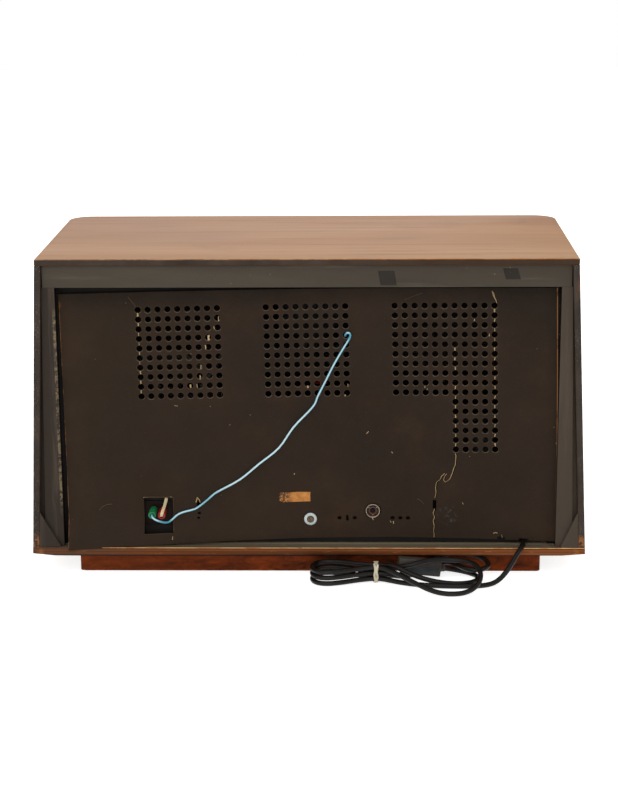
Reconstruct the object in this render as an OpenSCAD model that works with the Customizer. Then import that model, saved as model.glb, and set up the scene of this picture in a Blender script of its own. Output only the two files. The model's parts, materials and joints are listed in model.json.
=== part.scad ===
// Table valve radio of the mid 1950s.
// +Z is up, the dial faces -Y and the perforated back panel faces +Y.
// The origin is on the table, under the middle of the set.
// Left and right in the names are as someone in front of the set sees them.

/* [Cabinet] */
// Width of the cabinet at its bottom
cab_w_bottom = 571; // [565:1:590]
// Width of the cabinet at its top
cab_w_top = 543; // [538:1:560]
// Height of the cabinet without its plinth
cab_h = 309; // [304:1:330]
// Depth of the cabinet
cab_d = 272; // [268:1:290]
// Thickness of the cabinet's boards
shell_t = 6.5; // [5:0.5:8]
// Radius of the rounded front corners
corner_r = 25; // [18:1:30]
// Width of the front stile past the rounded corner
stile_extra = 8; // [6:1:14]

/* [Plinth] */
// Height of the plinth
plinth_h = 24; // [18:1:30]
// How far the plinth stands in from the cabinet's sides
plinth_side_in = 46.5; // [36:0.5:66]
// How far the plinth stands in from the cabinet's rear and front
plinth_in = 15; // [8:1:25]
// How far the plinth sits to the left of the middle
plinth_left = 2; // [0:0.5:4]
// Thickness of the plinth's rails
plinth_rail_t = 18; // [12:1:24]

/* [Rear frame] */
// How far the battens stand in from the rear edge
batten_in = 4; // [2:0.5:6]
// Height of the top batten
batten_h = 23; // [16:1:28]
// Width of the side battens at the narrower end of the cabinet
batten_w = 10.3; // [8:0.1:12]
// Height of the gussets in the lower corners
gusset_h = 38; // [25:1:50]

/* [Back panel] */
// Gap beside the back panel
panel_gap_x = 4.5; // [3.5:0.1:6]
// Gap above and below the back panel
panel_gap_z = 3; // [2.8:0.1:4]
// Thickness of the back panel
panel_t = 3; // [2:0.5:4]
// How far the panel's outer face stands in from the rear edge
panel_in = 12; // [9:0.5:15]
// Turn of the panel in its frame, in degrees
panel_turn = 0.6; // [0:0.1:0.6]
// Diameter of a ventilation hole
vent_d = 6.5; // [5:0.1:8]
// Distance between ventilation holes
vent_pitch = 10; // [9.5:0.1:10.2]
// Width of the aerial window
window_w = 30; // [28:1:34]
// Height of the aerial window
window_h = 39; // [36:1:41]

/* [Front] */
// Height of the control panel's top edge
control_top = 84; // [82:1:85]
// Height of the dial glass
glass_h = 66; // [66:1:68]
// Thickness of the dial glass
glass_t = 4; // [3:0.5:5]
// Thickness of the front boards
board_t = 8; // [6:0.5:9]
// Thickness of the grille cloth with its card frame
cloth_t = 3; // [2.5:0.1:3.5]

/* [Controls] */
// How far the knobs stand out from the cabinet
knob_out = 22; // [21:1:26]
// Distance of the knob shafts from the cabinet's sides
knob_in = 80.5; // [76:0.5:83]
// Height of the knob shafts above the table
knob_z = 60; // [58:1:61]
// Diameter of a knob
knob_d = 34; // [30:1:38]
// Outer diameter of the ring behind a knob
ring_d = 48; // [44:1:50]
// Diameter of the control shafts
shaft_d = 6; // [5:0.1:6.4]
// Number of piano keys
key_count = 5; // [5:1:5]
// Width of a piano key
key_w = 27; // [24:0.5:27.5]
// Distance between piano keys
key_pitch = 29; // [28:0.5:30]
// Angle through which a key goes down
key_travel = 8; // [5:0.5:8]

/* [Tuning drive] */
// Radius of the drive drum at its groove
drum_r = 60; // [58:1:61]
// Radius of the tuning shaft under the string
spindle_r = 4; // [3:0.1:4.4]
// Height of the drum's axis above the table
drum_z = 127; // [126:1:129]
// Radius of the string guide posts
guide_r = 4; // [3:0.1:4.5]
// Diameter of the flywheel
flywheel_d = 48; // [36:1:48]

/* [Chassis] */
// How far the chassis reaches past the knob shafts
chassis_side = 27; // [24:1:34]
// Height of the chassis top above the table
chassis_top = 88; // [87:1:90]
// Thickness of the chassis sheet
chassis_t = 1.5; // [1:0.1:2]
// Distance from the cabinet's front to the chassis
chassis_front_gap = 63; // [62:1:70]
// Height of a valve's glass
valve_h = 50; // [40:1:60]
// Diameter of a valve's glass
valve_d = 21; // [18:0.5:23]

/* [Loudspeaker] */
// Clear height above and below the loudspeaker
speaker_room = 8.3; // [6:0.1:13]
// Depth of the loudspeaker
speaker_depth = 72; // [60:1:90]

/* [Cords] */
// Diameter of the mains cord
cord_d = 5.2; // [5:0.1:5.4]
// Diameter of the aerial wire
wire_d = 2.2; // [1.8:0.1:2.6]

/* [Hidden] */
$fn = 48;

// Heights and depths that the pieces share
rear_y = (cab_d + knob_out) / 2;
front_y = rear_y - cab_d;
floor_z = plinth_h + shell_t;
top_z = plinth_h + cab_h;
ceil_z = top_z - shell_t;
splay = atan((cab_w_bottom - cab_w_top) / 2 / cab_h);
stile_w = corner_r + stile_extra;
plinth_w = cab_w_bottom - 2 * plinth_side_in;
knob_x = cab_w_bottom / 2 - knob_in;
chassis_w = 2 * (knob_x + chassis_side);
front_in = front_y + shell_t;
panel_out = rear_y - panel_in;
panel_inner = panel_out - panel_t;
panel_x = -2.5;
panel_z = (floor_z + ceil_z - batten_h) / 2;
panel_h = ceil_z - batten_h - floor_z - 2 * panel_gap_z;
glass_top = control_top + glass_h;
speaker_d = ceil_z - glass_top - 2 * speaker_room;
chassis_y = front_y + chassis_front_gap;
socket_gap = 4;
chassis_rear = panel_inner - socket_gap;

// Clearances
seat = 0.2;
run_fit = 0.05;
play = 0.3;
eps = 1;

// Tuning drive
string_d = 1;
string_gap = 0.45;
string_r = guide_r + string_d / 2 + string_gap;
drum_string_r = drum_r + string_d / 2 + string_gap;
spindle_string_r = spindle_r + string_d / 2 + string_gap;
drum_y = chassis_y - 8;
drum_t = 6;
key_slot_half = ((key_count - 1) * key_pitch + key_w) / 2 + 2;
ear_x = key_slot_half + 1;
drum_x = ear_x + 90.5;
top_run_z = glass_top - 3.4;
guide_z = top_run_z - string_r;
right_guide_x = drum_x - drum_r - 8;
left_guide_x = right_guide_x - 215;
rail_r = 1.5;
rail_y = front_y + 41;
rail_z = glass_top + 0.5;
plate_y = front_y + 25.5;
plate_t = 1.5;
plate_low = control_top + 2;
plate_top = glass_top - 4;
lower_run_z = plate_low + 1.4;
rise_x = drum_x - drum_r - 10;

// Half of the cabinet's outer width at height z
function half_w(z) = cab_w_bottom / 2 - (z - plinth_h) * tan(splay);
// Half of its inner width at height z
function half_in(z) = half_w(z) - shell_t / cos(splay);
batten_x = min(half_in(floor_z), half_in(ceil_z)) - batten_w;
panel_w = 2 * (batten_x - panel_gap_x);
// A four-sided outline in X and Z whose ends follow the splayed sides
function splayed(low, high, inset) = [[inset - half_w(low), low], [half_w(low) - inset, low],
    [half_w(high) - inset, high], [inset - half_w(high), high]];

// An outline in X and Z, made into a board that starts at depth y
module board(points, y, depth)
    translate([0, y + depth, 0]) rotate([90, 0, 0]) linear_extrude(depth) polygon(points);
// An outline in Y and Z, made into a bar along X
module bar(points, x, len)
    translate([x, 0, 0]) rotate([90, 0, 90]) linear_extrude(len) polygon(points);
// A box between two corners
module block(low, high) translate(low) cube(high - low);
// A rod along Y from y to y + len
module rod_y(x, z, y, len, r) translate([x, y, z]) rotate([-90, 0, 0]) cylinder(h = len, r = r);
// A revolved outline of radius and depth, standing along Y
module turned_y(x, z, y, points)
    translate([x, y, z]) rotate([-90, 0, 0]) rotate_extrude() polygon(points);

// The cabinet's outline in plan, with its two rounded front corners
module plan_outline(half) {
    translate([-half, front_y + corner_r]) square([2 * half, cab_d - corner_r]);
    translate([corner_r - half, front_y]) square([2 * (half - corner_r), corner_r]);
    for (side = [-1, 1]) translate([side * (half - corner_r), front_y + corner_r]) circle(corner_r);
}

module top_board() color("#b08a63")
    intersection() {
        board(splayed(ceil_z, top_z, 0), front_y, cab_d);
        translate([0, 0, ceil_z - eps]) linear_extrude(shell_t + 2 * eps) plan_outline(half_w(ceil_z));
    }

// Bottom board with its ventilation slots inside the plinth
slot_w = 5;
slot_l = 60;
slot_pitch = 16;
module bottom_board() color("#4a3a2c")
    difference() {
        intersection() {
            board(splayed(plinth_h, floor_z, 0), front_y, cab_d);
            translate([0, 0,
                plinth_h - eps]) linear_extrude(shell_t + 2 * eps) plan_outline(half_w(plinth_h));
        }
        for (row = [-1, 1], i = [-3 : 3])
            translate([i * slot_pitch + row * 90 - slot_w / 2, -slot_l / 2, plinth_h - eps])
                cube([slot_w, slot_l, shell_t + 2 * eps]);
    }

// One wall in plan: flat side, quarter bend and front stile
module wall_outline() {
    translate([-shell_t, front_y + corner_r]) square([shell_t, cab_d - corner_r]);
    translate([-stile_w, front_y]) square([stile_w - corner_r, shell_t]);
    intersection() {
        translate([-corner_r, front_y]) square(corner_r);
        translate([-corner_r, front_y + corner_r]) difference() {
            circle(corner_r);
            circle(corner_r - shell_t);
        }
    }
}

module right_side_wall() color("#8a6543")
    intersection() {
        translate([cab_w_bottom / 2, 0, plinth_h]) rotate([0, -splay, 0]) translate([0, 0, -10])
            linear_extrude(cab_h + 20) wall_outline();
        translate([0, front_y - eps, floor_z]) cube([cab_w_bottom, cab_d + 2 * eps, ceil_z - floor_z]);
    }

module left_side_wall() mirror([1, 0, 0]) right_side_wall();

// Plinth: a frame of four rails under the cabinet, with rounded outer corners
plinth_corner_r = 4;
module plinth() color("#6e2f16")
    translate([-plinth_left, 0, 0]) linear_extrude(plinth_h) difference() {
        union() {
            translate([-plinth_w / 2 + plinth_corner_r, front_y + plinth_in])
                square([plinth_w - 2 * plinth_corner_r, cab_d - 2 * plinth_in]);
            translate([-plinth_w / 2, front_y + plinth_in + plinth_corner_r])
                square([plinth_w, cab_d - 2 * plinth_in - 2 * plinth_corner_r]);
            for (sx = [-1, 1], y = [front_y + plinth_in + plinth_corner_r,
                rear_y - plinth_in - plinth_corner_r])
                translate([sx * (plinth_w / 2 - plinth_corner_r), y]) circle(plinth_corner_r);
        }
        translate([-plinth_w / 2 + plinth_rail_t, front_y + plinth_in + plinth_rail_t])
            square([plinth_w - 2 * plinth_rail_t, cab_d - 2 * plinth_in - 2 * plinth_rail_t]);
    }

// Rear frame: battens with a rebate that the back panel lies in
batten_d = 24;
rebate = 8;
groove_d = 6;
batten_low_z = ceil_z - batten_h;
batten_back = rear_y - batten_in - batten_d;
batten_face = rear_y - batten_in;
module rear_top_batten() color("#4b463f")
    bar([[batten_back, ceil_z], [batten_face, ceil_z], [batten_face, batten_low_z],
        [panel_inner, batten_low_z],
        [panel_inner, joint_z], [batten_back, joint_z]],
        -half_in(ceil_z) + seat, 2 * half_in(ceil_z) - 2 * seat);

// A side batten: its outer rear edge is cut back, so a groove widens downwards
groove_top = 0.4;
groove_low = 6.2;
joint_z = batten_low_z - rebate;
module side_batten()
    union() {
        board([[batten_x, floor_z], [half_in(floor_z) - 0.05, floor_z],
            [half_in(joint_z) - 0.05, joint_z],
            [batten_x, joint_z]], batten_back, batten_face - groove_d - batten_back);
        board([[batten_x, floor_z], [half_in(floor_z) - groove_low, floor_z],
            [half_in(joint_z) - groove_top, joint_z], [batten_x, joint_z]],
                batten_face - groove_d - eps, groove_d + eps);
        board([[batten_x, joint_z - eps], [half_in(joint_z) - groove_top, joint_z - eps],
            [half_in(batten_low_z) - groove_top, batten_low_z], [batten_x, batten_low_z]],
            panel_inner, batten_face - panel_inner);
        block([batten_x - rebate, batten_back, floor_z], [batten_x + eps, panel_inner, joint_z]);
    }

module rear_side_battens() color("#4b463f") {
    side_batten();
    mirror([1, 0, 0]) side_batten();
}

// Gusset: a triangle let in flush across the lower rear corner
gusset_w = 19;
gusset_back = 0.5;
module gusset()
    board([[half_in(floor_z), floor_z], [half_in(floor_z + gusset_h), floor_z + gusset_h],
        [half_in(floor_z) - gusset_w, floor_z]], batten_face, batten_in - gusset_back);

module rear_gussets() color("#46413b") {
    gusset();
    mirror([1, 0, 0]) gusset();
}

// Places behind the panel, as X and Z of the row
aerial_at = [155.8, 62.9];
speaker_pins = [-32.5, -48.3];
speaker_slot_x = -40.6;
phono_pins = [-87.4, -95.3, -103.1];
pin_z = 58.7;
round_at = [-66.9, 67.1];
screw_at = [-2.5, 58.1];
cord_x = 10 - chassis_w / 2;
cord_exit_z = floor_z + cord_d / 2 + play;
pin_hole_d = 4.6;
round_d = 15;

// A place in the panel's own turned frame
function on_panel(p) = [(p[0] - panel_x) * cos(panel_turn) - (p[1] - panel_z) * sin(panel_turn),
    (p[0] - panel_x) * sin(panel_turn) + (p[1] - panel_z) * cos(panel_turn)];

vent_top = panel_h / 2 - 18.3;
// Each field of holes: middle, columns and rows
vent_fields = [[132, 9, 10], [2.7, 9, 10], [-137, 11, 10]];
vent_rows = 10;
extra_cols = 5;
extra_rows = 6;

// One field of holes, starting at its upper left corner
module vent_field(x, top, cols, rows)
    for (c = [0 : cols - 1], r = [0 : rows - 1])
        translate([x + c * vent_pitch, top - r * vent_pitch]) circle(d = vent_d, $fn = 24);

// A slot with square ends, in the panel's frame
module panel_slot(at, w, h) translate([on_panel(at)[0] - w / 2,
    on_panel(at)[1] - h / 2]) square([w, h]);

module panel_cuts() {
    for (f = vent_fields) vent_field(f[0] - (f[1] - 1) / 2 * vent_pitch, vent_top, f[1], f[2]);
    vent_field(vent_fields[2][0] - (vent_fields[2][1] - 1) / 2 * vent_pitch,
        vent_top - vent_rows * vent_pitch,
        extra_cols, extra_rows);
    panel_slot(aerial_at, window_w, window_h);
    for (x = concat(speaker_pins, phono_pins)) translate(on_panel([x, pin_z])) circle(d = pin_hole_d);
    panel_slot([speaker_slot_x, pin_z], 2.6, 7);
    translate(on_panel(round_at)) circle(d = round_d + 1.5);
    translate(on_panel(screw_at)) circle(d = 5);
    // A hook slot over a small hole, and a trimmer slot
    panel_slot([114.3, 76.5], 2.6, 11);
    translate(on_panel([114.2, 59.8])) circle(d = 3);
    panel_slot([-130, 72.5], 3, 9);
    // A notch in the lower edge, and the way out for the mains cord
    translate([-194.8, -panel_h / 2]) circle(d = 8);
    translate([-198.8, -panel_h / 2 - 4]) square([8, 7]);
    translate([on_panel([cord_x, 0])[0] - 5, -panel_h / 2 - 1]) square([10, 3]);
}

module back_panel() color("#33281f")
    translate([panel_x, panel_out, panel_z]) rotate([0, panel_turn, 0]) rotate([90, 0, 0])
        linear_extrude(panel_t) difference() {
            translate([-panel_w / 2, -panel_h / 2]) square([panel_w, panel_h]);
            panel_cuts();
        }

// Slotted screw through a wide washer into the chassis
screw_shank_r = 2;
module panel_screw() color("#a9aca4") {
    turned_y(screw_at[0], screw_at[1], panel_out, [[screw_shank_r, 0], [6.75, 0], [6.75, 0.8],
        [6, 1.4], [screw_shank_r, 1.4]]);
    difference() {
        union() {
            rod_y(screw_at[0], screw_at[1], chassis_rear - 6,
                panel_out + 1.4 - chassis_rear + 6, screw_shank_r);
            turned_y(screw_at[0], screw_at[1], panel_out + 1.4, [[0, 0], [3.2, 0], [3.2, 0.8],
                [2.2, 1.9], [0, 2.2]]);
        }
        block([screw_at[0] - 0.5, panel_out + 2.6, screw_at[1] - 4],
            [screw_at[0] + 0.5, panel_out + 4, screw_at[1] + 4]);
    }
}

// Front boards behind the stiles
module front_baffle() color("#8c6b45")
    difference() {
        board(splayed(glass_top, ceil_z - seat, corner_r + seat), front_in, board_t);
        rod_y(0, speaker_z, front_in - eps, board_t + 2 * eps, speaker_hole_r);
    }

speaker_z = (glass_top + ceil_z) / 2 + 2.75;
speaker_hole_r = speaker_d / 2 - 14;

// Cloth stretched over a card frame, between the stiles
cloth_edge = 9;
cloth_inset = stile_w + 0.5;
module grille_cloth() color("#c9b48a")
    difference() {
        board(splayed(glass_top + play, ceil_z - seat, cloth_inset), front_in - cloth_t, cloth_t);
        board(splayed(glass_top + play + cloth_edge, ceil_z - seat - cloth_edge,
            cloth_inset + cloth_edge),
            front_in - cloth_t + 1, cloth_t);
    }

// Brass beads: one round the cloth and one round the dial
bead_w = 4;
bead_t = 2.5;
module bead_frame(low, high, y)
    difference() {
        board(splayed(low, high, cloth_inset), y, bead_t);
        board(splayed(low + bead_w, high - bead_w, cloth_inset + bead_w), y - eps, bead_t + 2 * eps);
    }

module front_trim() color("#b8964a") {
    bead_frame(glass_top + play, ceil_z - seat, front_in - cloth_t - bead_t);
    bead_frame(control_top - 2, glass_top - play, front_in - bead_t);
}

// Control panel with the key slot and the shaft holes
module control_panel() color("#5a3a22")
    difference() {
        board(splayed(floor_z, control_top, corner_r + seat), front_in, board_t);
        block([-key_slot_half, front_in - eps, 43], [key_slot_half, front_in + board_t + eps, 71]);
        for (side = [-1, 1]) rod_y(side * knob_x, knob_z, front_in - eps, board_t + 2 * eps,
            shaft_d / 2 + 3);
    }

module dial_glass() color("#9db4a8")
    board(splayed(control_top, glass_top - seat, corner_r + seat), front_in, glass_t);

// Magic eye valve, looking out through the scale
eye_x = 27 - knob_x;
eye_z = (plate_low + plate_top) / 2;
eye_r = 11;
eye_front = front_in + glass_t + 5;
module magic_eye() color("#6fae84")
    turned_y(eye_x, eye_z, eye_front, [[0, 0], [eye_r - 3, 0], [eye_r - 1, 1], [eye_r, 3], [eye_r, 46],
        [eye_r + 0.8, 46], [eye_r + 0.8, 58], [0, 58]]);

module dial_scale() color("#e8dcc0")
    difference() {
        block([-knob_x, plate_y - 1, plate_low + 4], [knob_x, plate_y, plate_top - 4]);
        rod_y(eye_x, eye_z, plate_y - 1 - eps, 1 + 2 * eps, eye_r + play);
    }

// Steel plate behind the dial, with its legs, guide posts and pointer rail
plate_half = chassis_w / 2;
leg_t = 1.5;
foot_low = 40;
foot_high = 66;
brace_t = 1.5;
brace_out = 14;
module dial_bracket() color("#8d9294") {
    difference() {
        union() {
            block([-plate_half, plate_y, plate_low], [plate_half, plate_y + plate_t, plate_top]);
            for (side = [-1, 1]) {
                bar([[chassis_y, foot_low], [chassis_y, foot_high], [plate_y + 9, foot_high + 10],
                    [plate_y + 9, plate_top - 12], [plate_y, plate_top], [plate_y, foot_high]],
                    side > 0 ? plate_half - leg_t : -plate_half, leg_t);
                bar([[chassis_y - leg_t, foot_low], [chassis_y, foot_low], [chassis_y, foot_high],
                    [chassis_y - leg_t, foot_high]], side > 0 ? plate_half - 9 : -plate_half, 9);
            }
        }
        rod_y(eye_x, eye_z, plate_y - eps, plate_t + 2 * eps, eye_r + play);
    }
    for (p = [[left_guide_x, guide_z], [right_guide_x, guide_z],
        [left_guide_x, lower_run_z + string_r]])
        guide_post(p, plate_y, drum_y + drum_t - plate_y);
    for (x = [left_guide_x - brace_out, right_guide_x + brace_out])
        bar([[plate_y, plate_top - 8], [plate_y, plate_top], [plate_y + plate_t, plate_top],
            [rail_y - 3, rail_z + 3], [rail_y + 3, rail_z + 3], [rail_y + 3, rail_z - 4]], x, brace_t);
    translate([left_guide_x - brace_out, rail_y, rail_z]) rotate([0, 90, 0])
        cylinder(h = right_guide_x - left_guide_x + 2 * brace_out + brace_t, r = rail_r);
}

// A string guide post with a groove where the string runs
module guide_post(p, y, len)
    turned_y(p[0], p[1], y, [[0, 0], [guide_r + 1, 0], [guide_r + 1, drum_y - y - 1],
        [guide_r, drum_y - y - 1],
        [guide_r, drum_y - y + 1], [guide_r + 1, drum_y - y + 1], [guide_r + 1, len], [0, len]]);

module dial_lamps() color("#e7d9a2")
    for (side = [-1, 1])
        turned_y(side * (knob_x + 12), eye_z, plate_y - 13, [[0, 0], [3, 0.6], [4.6, 2.6], [4.6, 5],
            [3.4, 7], [3.4, 9],
            [4.4, 9], [4.4, 13], [0, 13]]);

// Pointer: a block that slides on the rail, an arm over the plate and a needle
pointer_y = front_in + glass_t + 5;
pointer_x = (left_guide_x + right_guide_x) / 2;
module dial_pointer() color("#c2402c")
    difference() {
        union() {
            block([pointer_x - 7, rail_y - 3.5, rail_z - 3], [pointer_x + 7, rail_y + 3.5, rail_z + 3]);
            block([pointer_x - 2, pointer_y, rail_z - 1], [pointer_x + 2, rail_y - 3.5, rail_z + 1]);
            block([pointer_x - 0.8, pointer_y, plate_low + 6], [pointer_x + 0.8,
                pointer_y + 1.2, rail_z + 1]);
            block([pointer_x - 1, rail_y + 3.5, rail_z - 1], [pointer_x + 1, drum_y + 3, rail_z + 1]);
            for (y = [drum_y - 2.2, drum_y + 1])
                block([pointer_x - 1, y, top_run_z - 1.5], [pointer_x + 1, y + 1.2, rail_z - 1]);
        }
        translate([pointer_x - 8, rail_y, rail_z]) rotate([0, 90, 0]) cylinder(h = 16,
            r = rail_r + run_fit);
    }

// A tube swept along points: its width lies along the first direction given, and turns with the route
function unit(v) = v / norm(v);
function square_to(v, h) = unit(v - (v * h) * h);
function heading(p, i) = i == 0 ? unit(p[1] - p[0]) :
    i == len(p) - 1 ? unit(p[i] - p[i - 1]) : unit(unit(p[i + 1] - p[i]) + unit(p[i] - p[i - 1]));
module swept(route, w, t, sides, start, first = 0, final = undef) {
    end = is_undef(final) ? len(route) - 1 : final;
    p = [for (i = [first : end]) route[i]];
    h = [for (i = [first : end]) heading(route, i)];
    n = len(p);
    across = [for (i = 0, v = square_to(start, h[0]); i < n; i = i + 1,
        v = i < n ? square_to(v, h[i]) : v) v];
    rings = [for (i = [0 : n - 1], k = [0 : sides - 1]) let (a = 360 * k / sides)
        p[i] + across[i] * cos(a) * w / 2 + cross(h[i], across[i]) * sin(a) * t / 2];
    skin = [for (i = [0 : n - 2], k = [0 : sides - 1]) let (a = i * sides + k,
        b = i * sides + (k + 1) % sides)
        each [[a, a + sides, b + sides], [a, b + sides, b]]];
    last = (n - 1) * sides;
    ends = [for (k = [1 : sides - 2]) each [[0, k, k + 1], [last, last + k + 1, last + k]]];
    polyhedron(points = rings, faces = concat(skin, ends), convexity = 10);
}

// Points on an arc in X and Z round a centre, at the depth of the drum
function arc_at(c, r, from, to, n) = [for (i = [0 : n]) let (a = from + (to - from) * i / n)
    [c[0] + r * cos(a), drum_y, c[1] + r * sin(a)]];

// The drive string: over the pointer, round the drum, round the spindle and back
guide_right = [right_guide_x, guide_z];
rise_guide = [rise_x + string_r, knob_z - spindle_string_r + string_r];
turn_guide = [rise_x - string_r, lower_run_z - string_r];
left_low = [left_guide_x, lower_run_z + string_r];
drum_at = [drum_x, drum_z];
spindle_at = [knob_x, knob_z];
// A straight string crosses over between two circles: the angle at which it leaves the first one
function leave_angle(a, b, ra, rb, side) = atan2(b[1] - a[1],
    b[0] - a[0]) + side * acos((ra + rb) / norm(b - a));
onto_drum = leave_angle(guide_right, drum_at, string_r, drum_string_r, 1);
off_drum = leave_angle(drum_at, spindle_at, drum_string_r, spindle_string_r, -1);
module dial_string() color("#d8c690") {
    route = concat(
        arc_at([left_guide_x, guide_z], string_r, 180, 90, 4),
        arc_at(guide_right, string_r, 90, onto_drum, 5),
        arc_at(drum_at, drum_string_r, onto_drum + 180, 360 + off_drum, 12),
        arc_at(spindle_at, spindle_string_r, off_drum + 180, -90, 8),
        arc_at(rise_guide, string_r, 270, 180, 4),
        arc_at(turn_guide, string_r, 0, 90, 4),
        arc_at(left_low, string_r, 270, 180, 4),
        [[left_guide_x - string_r, drum_y, guide_z - string_d]]);
    swept(route, string_d, string_d, 6, [0, 1, 0]);
}

// Knob: a skirted cap with a dished face and grip flutes, bored for its shaft
bore_depth = 11;
flutes = 20;
knob_len = 12.5;
ring_front = front_y - knob_out + knob_len + 0.6;
ring_len = front_in - 3 - ring_front;
module knob(x)
    difference() {
        turned_y(x, knob_z, front_y - knob_out, [[0, 1.2], [knob_d / 2 - 6, 0.6], [knob_d / 2 - 3, 0],
            [knob_d / 2 - 1.2, 0.6],
            [knob_d / 2 - 0.4, 2], [knob_d / 2, 9], [knob_d / 2 + 2, 10.5], [knob_d / 2 + 2, knob_len],
                [0, knob_len]]);
        for (k = [0 : flutes - 1]) rotate_about(x, knob_z, 360 * k / flutes)
            rod_y(x + knob_d / 2 + 0.9, knob_z, front_y - knob_out - eps, 9.5, 1.6);
        rod_y(x, knob_z, front_y - knob_out + knob_len - bore_depth, bore_depth + eps, shaft_d / 2);
    }

module rotate_about(x, z, a) translate([x, 0, z]) rotate([0, a, 0]) translate([-x, 0, -z]) children();

// Ring knob behind the main knob, bored for its hollow shaft
hollow_r = shaft_d / 2 + 2;
module ring_knob(x)
    difference() {
        turned_y(x, knob_z, ring_front, [[hollow_r, 0], [ring_d / 2 - 3, 0], [ring_d / 2 - 0.8, 0.8],
            [ring_d / 2, 3],
            [ring_d / 2, ring_len], [hollow_r, ring_len]]);
        for (k = [0 : 35]) rotate_about(x, knob_z, 10 * k)
            rod_y(x + ring_d / 2 + 0.5, knob_z, ring_front - eps, ring_len + 2 * eps, 1.1);
    }

shaft_start = front_y - knob_out + knob_len - bore_depth;
module volume_knob() color("#4a2c1a") knob(-knob_x);
module tuning_knob() color("#4a2c1a") knob(knob_x);
module bass_ring() color("#d9c9a0") ring_knob(-knob_x);
module treble_ring() color("#d9c9a0") ring_knob(knob_x);

tone_can_y = front_in + board_t;
tone_can_t = 9;
module hollow_shaft(x)
    turned_y(x, knob_z, ring_front, [[shaft_d / 2 + run_fit, 0], [hollow_r, 0],
        [hollow_r, tone_can_y + tone_can_t - 1 - ring_front],
            [shaft_d / 2 + run_fit, tone_can_y + tone_can_t - 1 - ring_front]]);
module bass_shaft() color("#b9a06a") hollow_shaft(-knob_x);
module treble_shaft() color("#b9a06a") hollow_shaft(knob_x);

// Volume control on the chassis front, and the two tone controls behind the control panel
volume_can_t = 12;
module control_pots() color("#9aa0a2") {
    turned_y(-knob_x, knob_z, chassis_y - volume_can_t, [[shaft_d / 2 + run_fit, 0], [11.5, 0],
        [12.5, 1], [12.5, volume_can_t],
        [0, volume_can_t], [0, volume_can_t - 2], [shaft_d / 2 + run_fit, volume_can_t - 2]]);
    for (side = [-1, 1])
        turned_y(side * knob_x, knob_z, tone_can_y, [[hollow_r + run_fit, 0], [13, 0],
            [13, tone_can_t - 1], [12, tone_can_t],
            [hollow_r + run_fit, tone_can_t]]);
}
module volume_shaft() color("#b9bcbd")
    rod_y(-knob_x, knob_z, shaft_start, chassis_y - 2.5 - shaft_start, shaft_d / 2);

// Tuning shaft: a plain shaft with a thicker part for the string, held in the chassis
module tuning_shaft() color("#b9bcbd")
    union() {
        rod_y(knob_x, knob_z, shaft_start, chassis_y + 8 - shaft_start, shaft_d / 2);
        rod_y(knob_x, knob_z, drum_y - 5, 10, spindle_r);
    }

flywheel_y = front_y + 27;
flywheel_t = 9;
module tuning_flywheel() color("#a7a9a8")
    turned_y(knob_x, knob_z, flywheel_y, [[shaft_d / 2, -3], [7, -3], [7, 1.5],
        [flywheel_d / 2 - 8, 1.5], [flywheel_d / 2 - 8, 0],
        [flywheel_d / 2, 0], [flywheel_d / 2, flywheel_t], [flywheel_d / 2 - 8, flywheel_t],
        [flywheel_d / 2 - 8, flywheel_t - 2], [shaft_d / 2, flywheel_t - 2]]);

// Drum: grooved rim, web with round windows, hub on the rotor's shaft
module dial_drum() color("#c8c3b4")
    difference() {
        turned_y(drum_x, drum_z, drum_y - drum_t / 2, [[shaft_d / 2, -4], [9, -4], [9, 2],
            [drum_r - 6, 2], [drum_r - 6, 0],
            [drum_r + 3, 0], [drum_r + 3, 1.5], [drum_r, 1.5], [drum_r, 4.5], [drum_r + 3, 4.5],
                [drum_r + 3, drum_t],
            [drum_r - 6, drum_t], [drum_r - 6, 4], [9, 4], [9, drum_t], [shaft_d / 2, drum_t]]);
        for (k = [0 : 5]) rotate_about(drum_x, drum_z, 60 * k + 30)
            rod_y(drum_x + 32, drum_z, drum_y - drum_t, 2 * drum_t, 12);
    }

// Variable capacitor: frame with fixed vanes below the axis, rotor with swinging vanes
cap_front = chassis_y + 4;
cap_len = 50;
cap_half = 32;
vane_t = 1.2;
vane_pitch = 7;
fixed_vanes = 6;
vane_r = 26;
vane_start = cap_front + 7;
module tuning_capacitor() color("#b4b7b5") {
    difference() {
        union() {
            block([drum_x - cap_half, cap_front, chassis_top], [drum_x + cap_half,
                cap_front + cap_len, chassis_top + 2]);
            for (y = [cap_front, cap_front + cap_len - 2])
                block([drum_x - cap_half, y, chassis_top], [drum_x + cap_half, y + 2, drum_z + 16]);
        }
        rod_y(drum_x, drum_z, cap_front - eps, cap_len + 2 * eps, shaft_d / 2 + run_fit);
    }
    for (side = [-1, 1]) block([drum_x + side * (cap_half - 3) - 2, cap_front + 2, drum_z - 12],
        [drum_x + side * (cap_half - 3) + 2, cap_front + cap_len - 2, drum_z - 6]);
    for (i = [0 : fixed_vanes - 1]) difference() {
        block([drum_x - cap_half + 3, vane_start + i * vane_pitch, chassis_top + 5],
            [drum_x + cap_half - 3, vane_start + i * vane_pitch + vane_t, drum_z - 4]);
        rod_y(drum_x, drum_z, vane_start + i * vane_pitch - eps, vane_t + 2 * eps, 8);
    }
}

module capacitor_rotor() color("#cfd2cf")
    union() {
        rod_y(drum_x, drum_z, drum_y - drum_t / 2 - 4,
            cap_front + cap_len + 3 - drum_y + drum_t / 2 + 4, shaft_d / 2);
        for (i = [0 : fixed_vanes - 2]) intersection() {
            rod_y(drum_x, drum_z, vane_start + (i + 0.5) * vane_pitch, vane_t, vane_r);
            block([drum_x, vane_start, drum_z - vane_r - eps], [drum_x + vane_r + eps,
                cap_front + cap_len, drum_z + vane_r + eps]);
        }
    }

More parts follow.
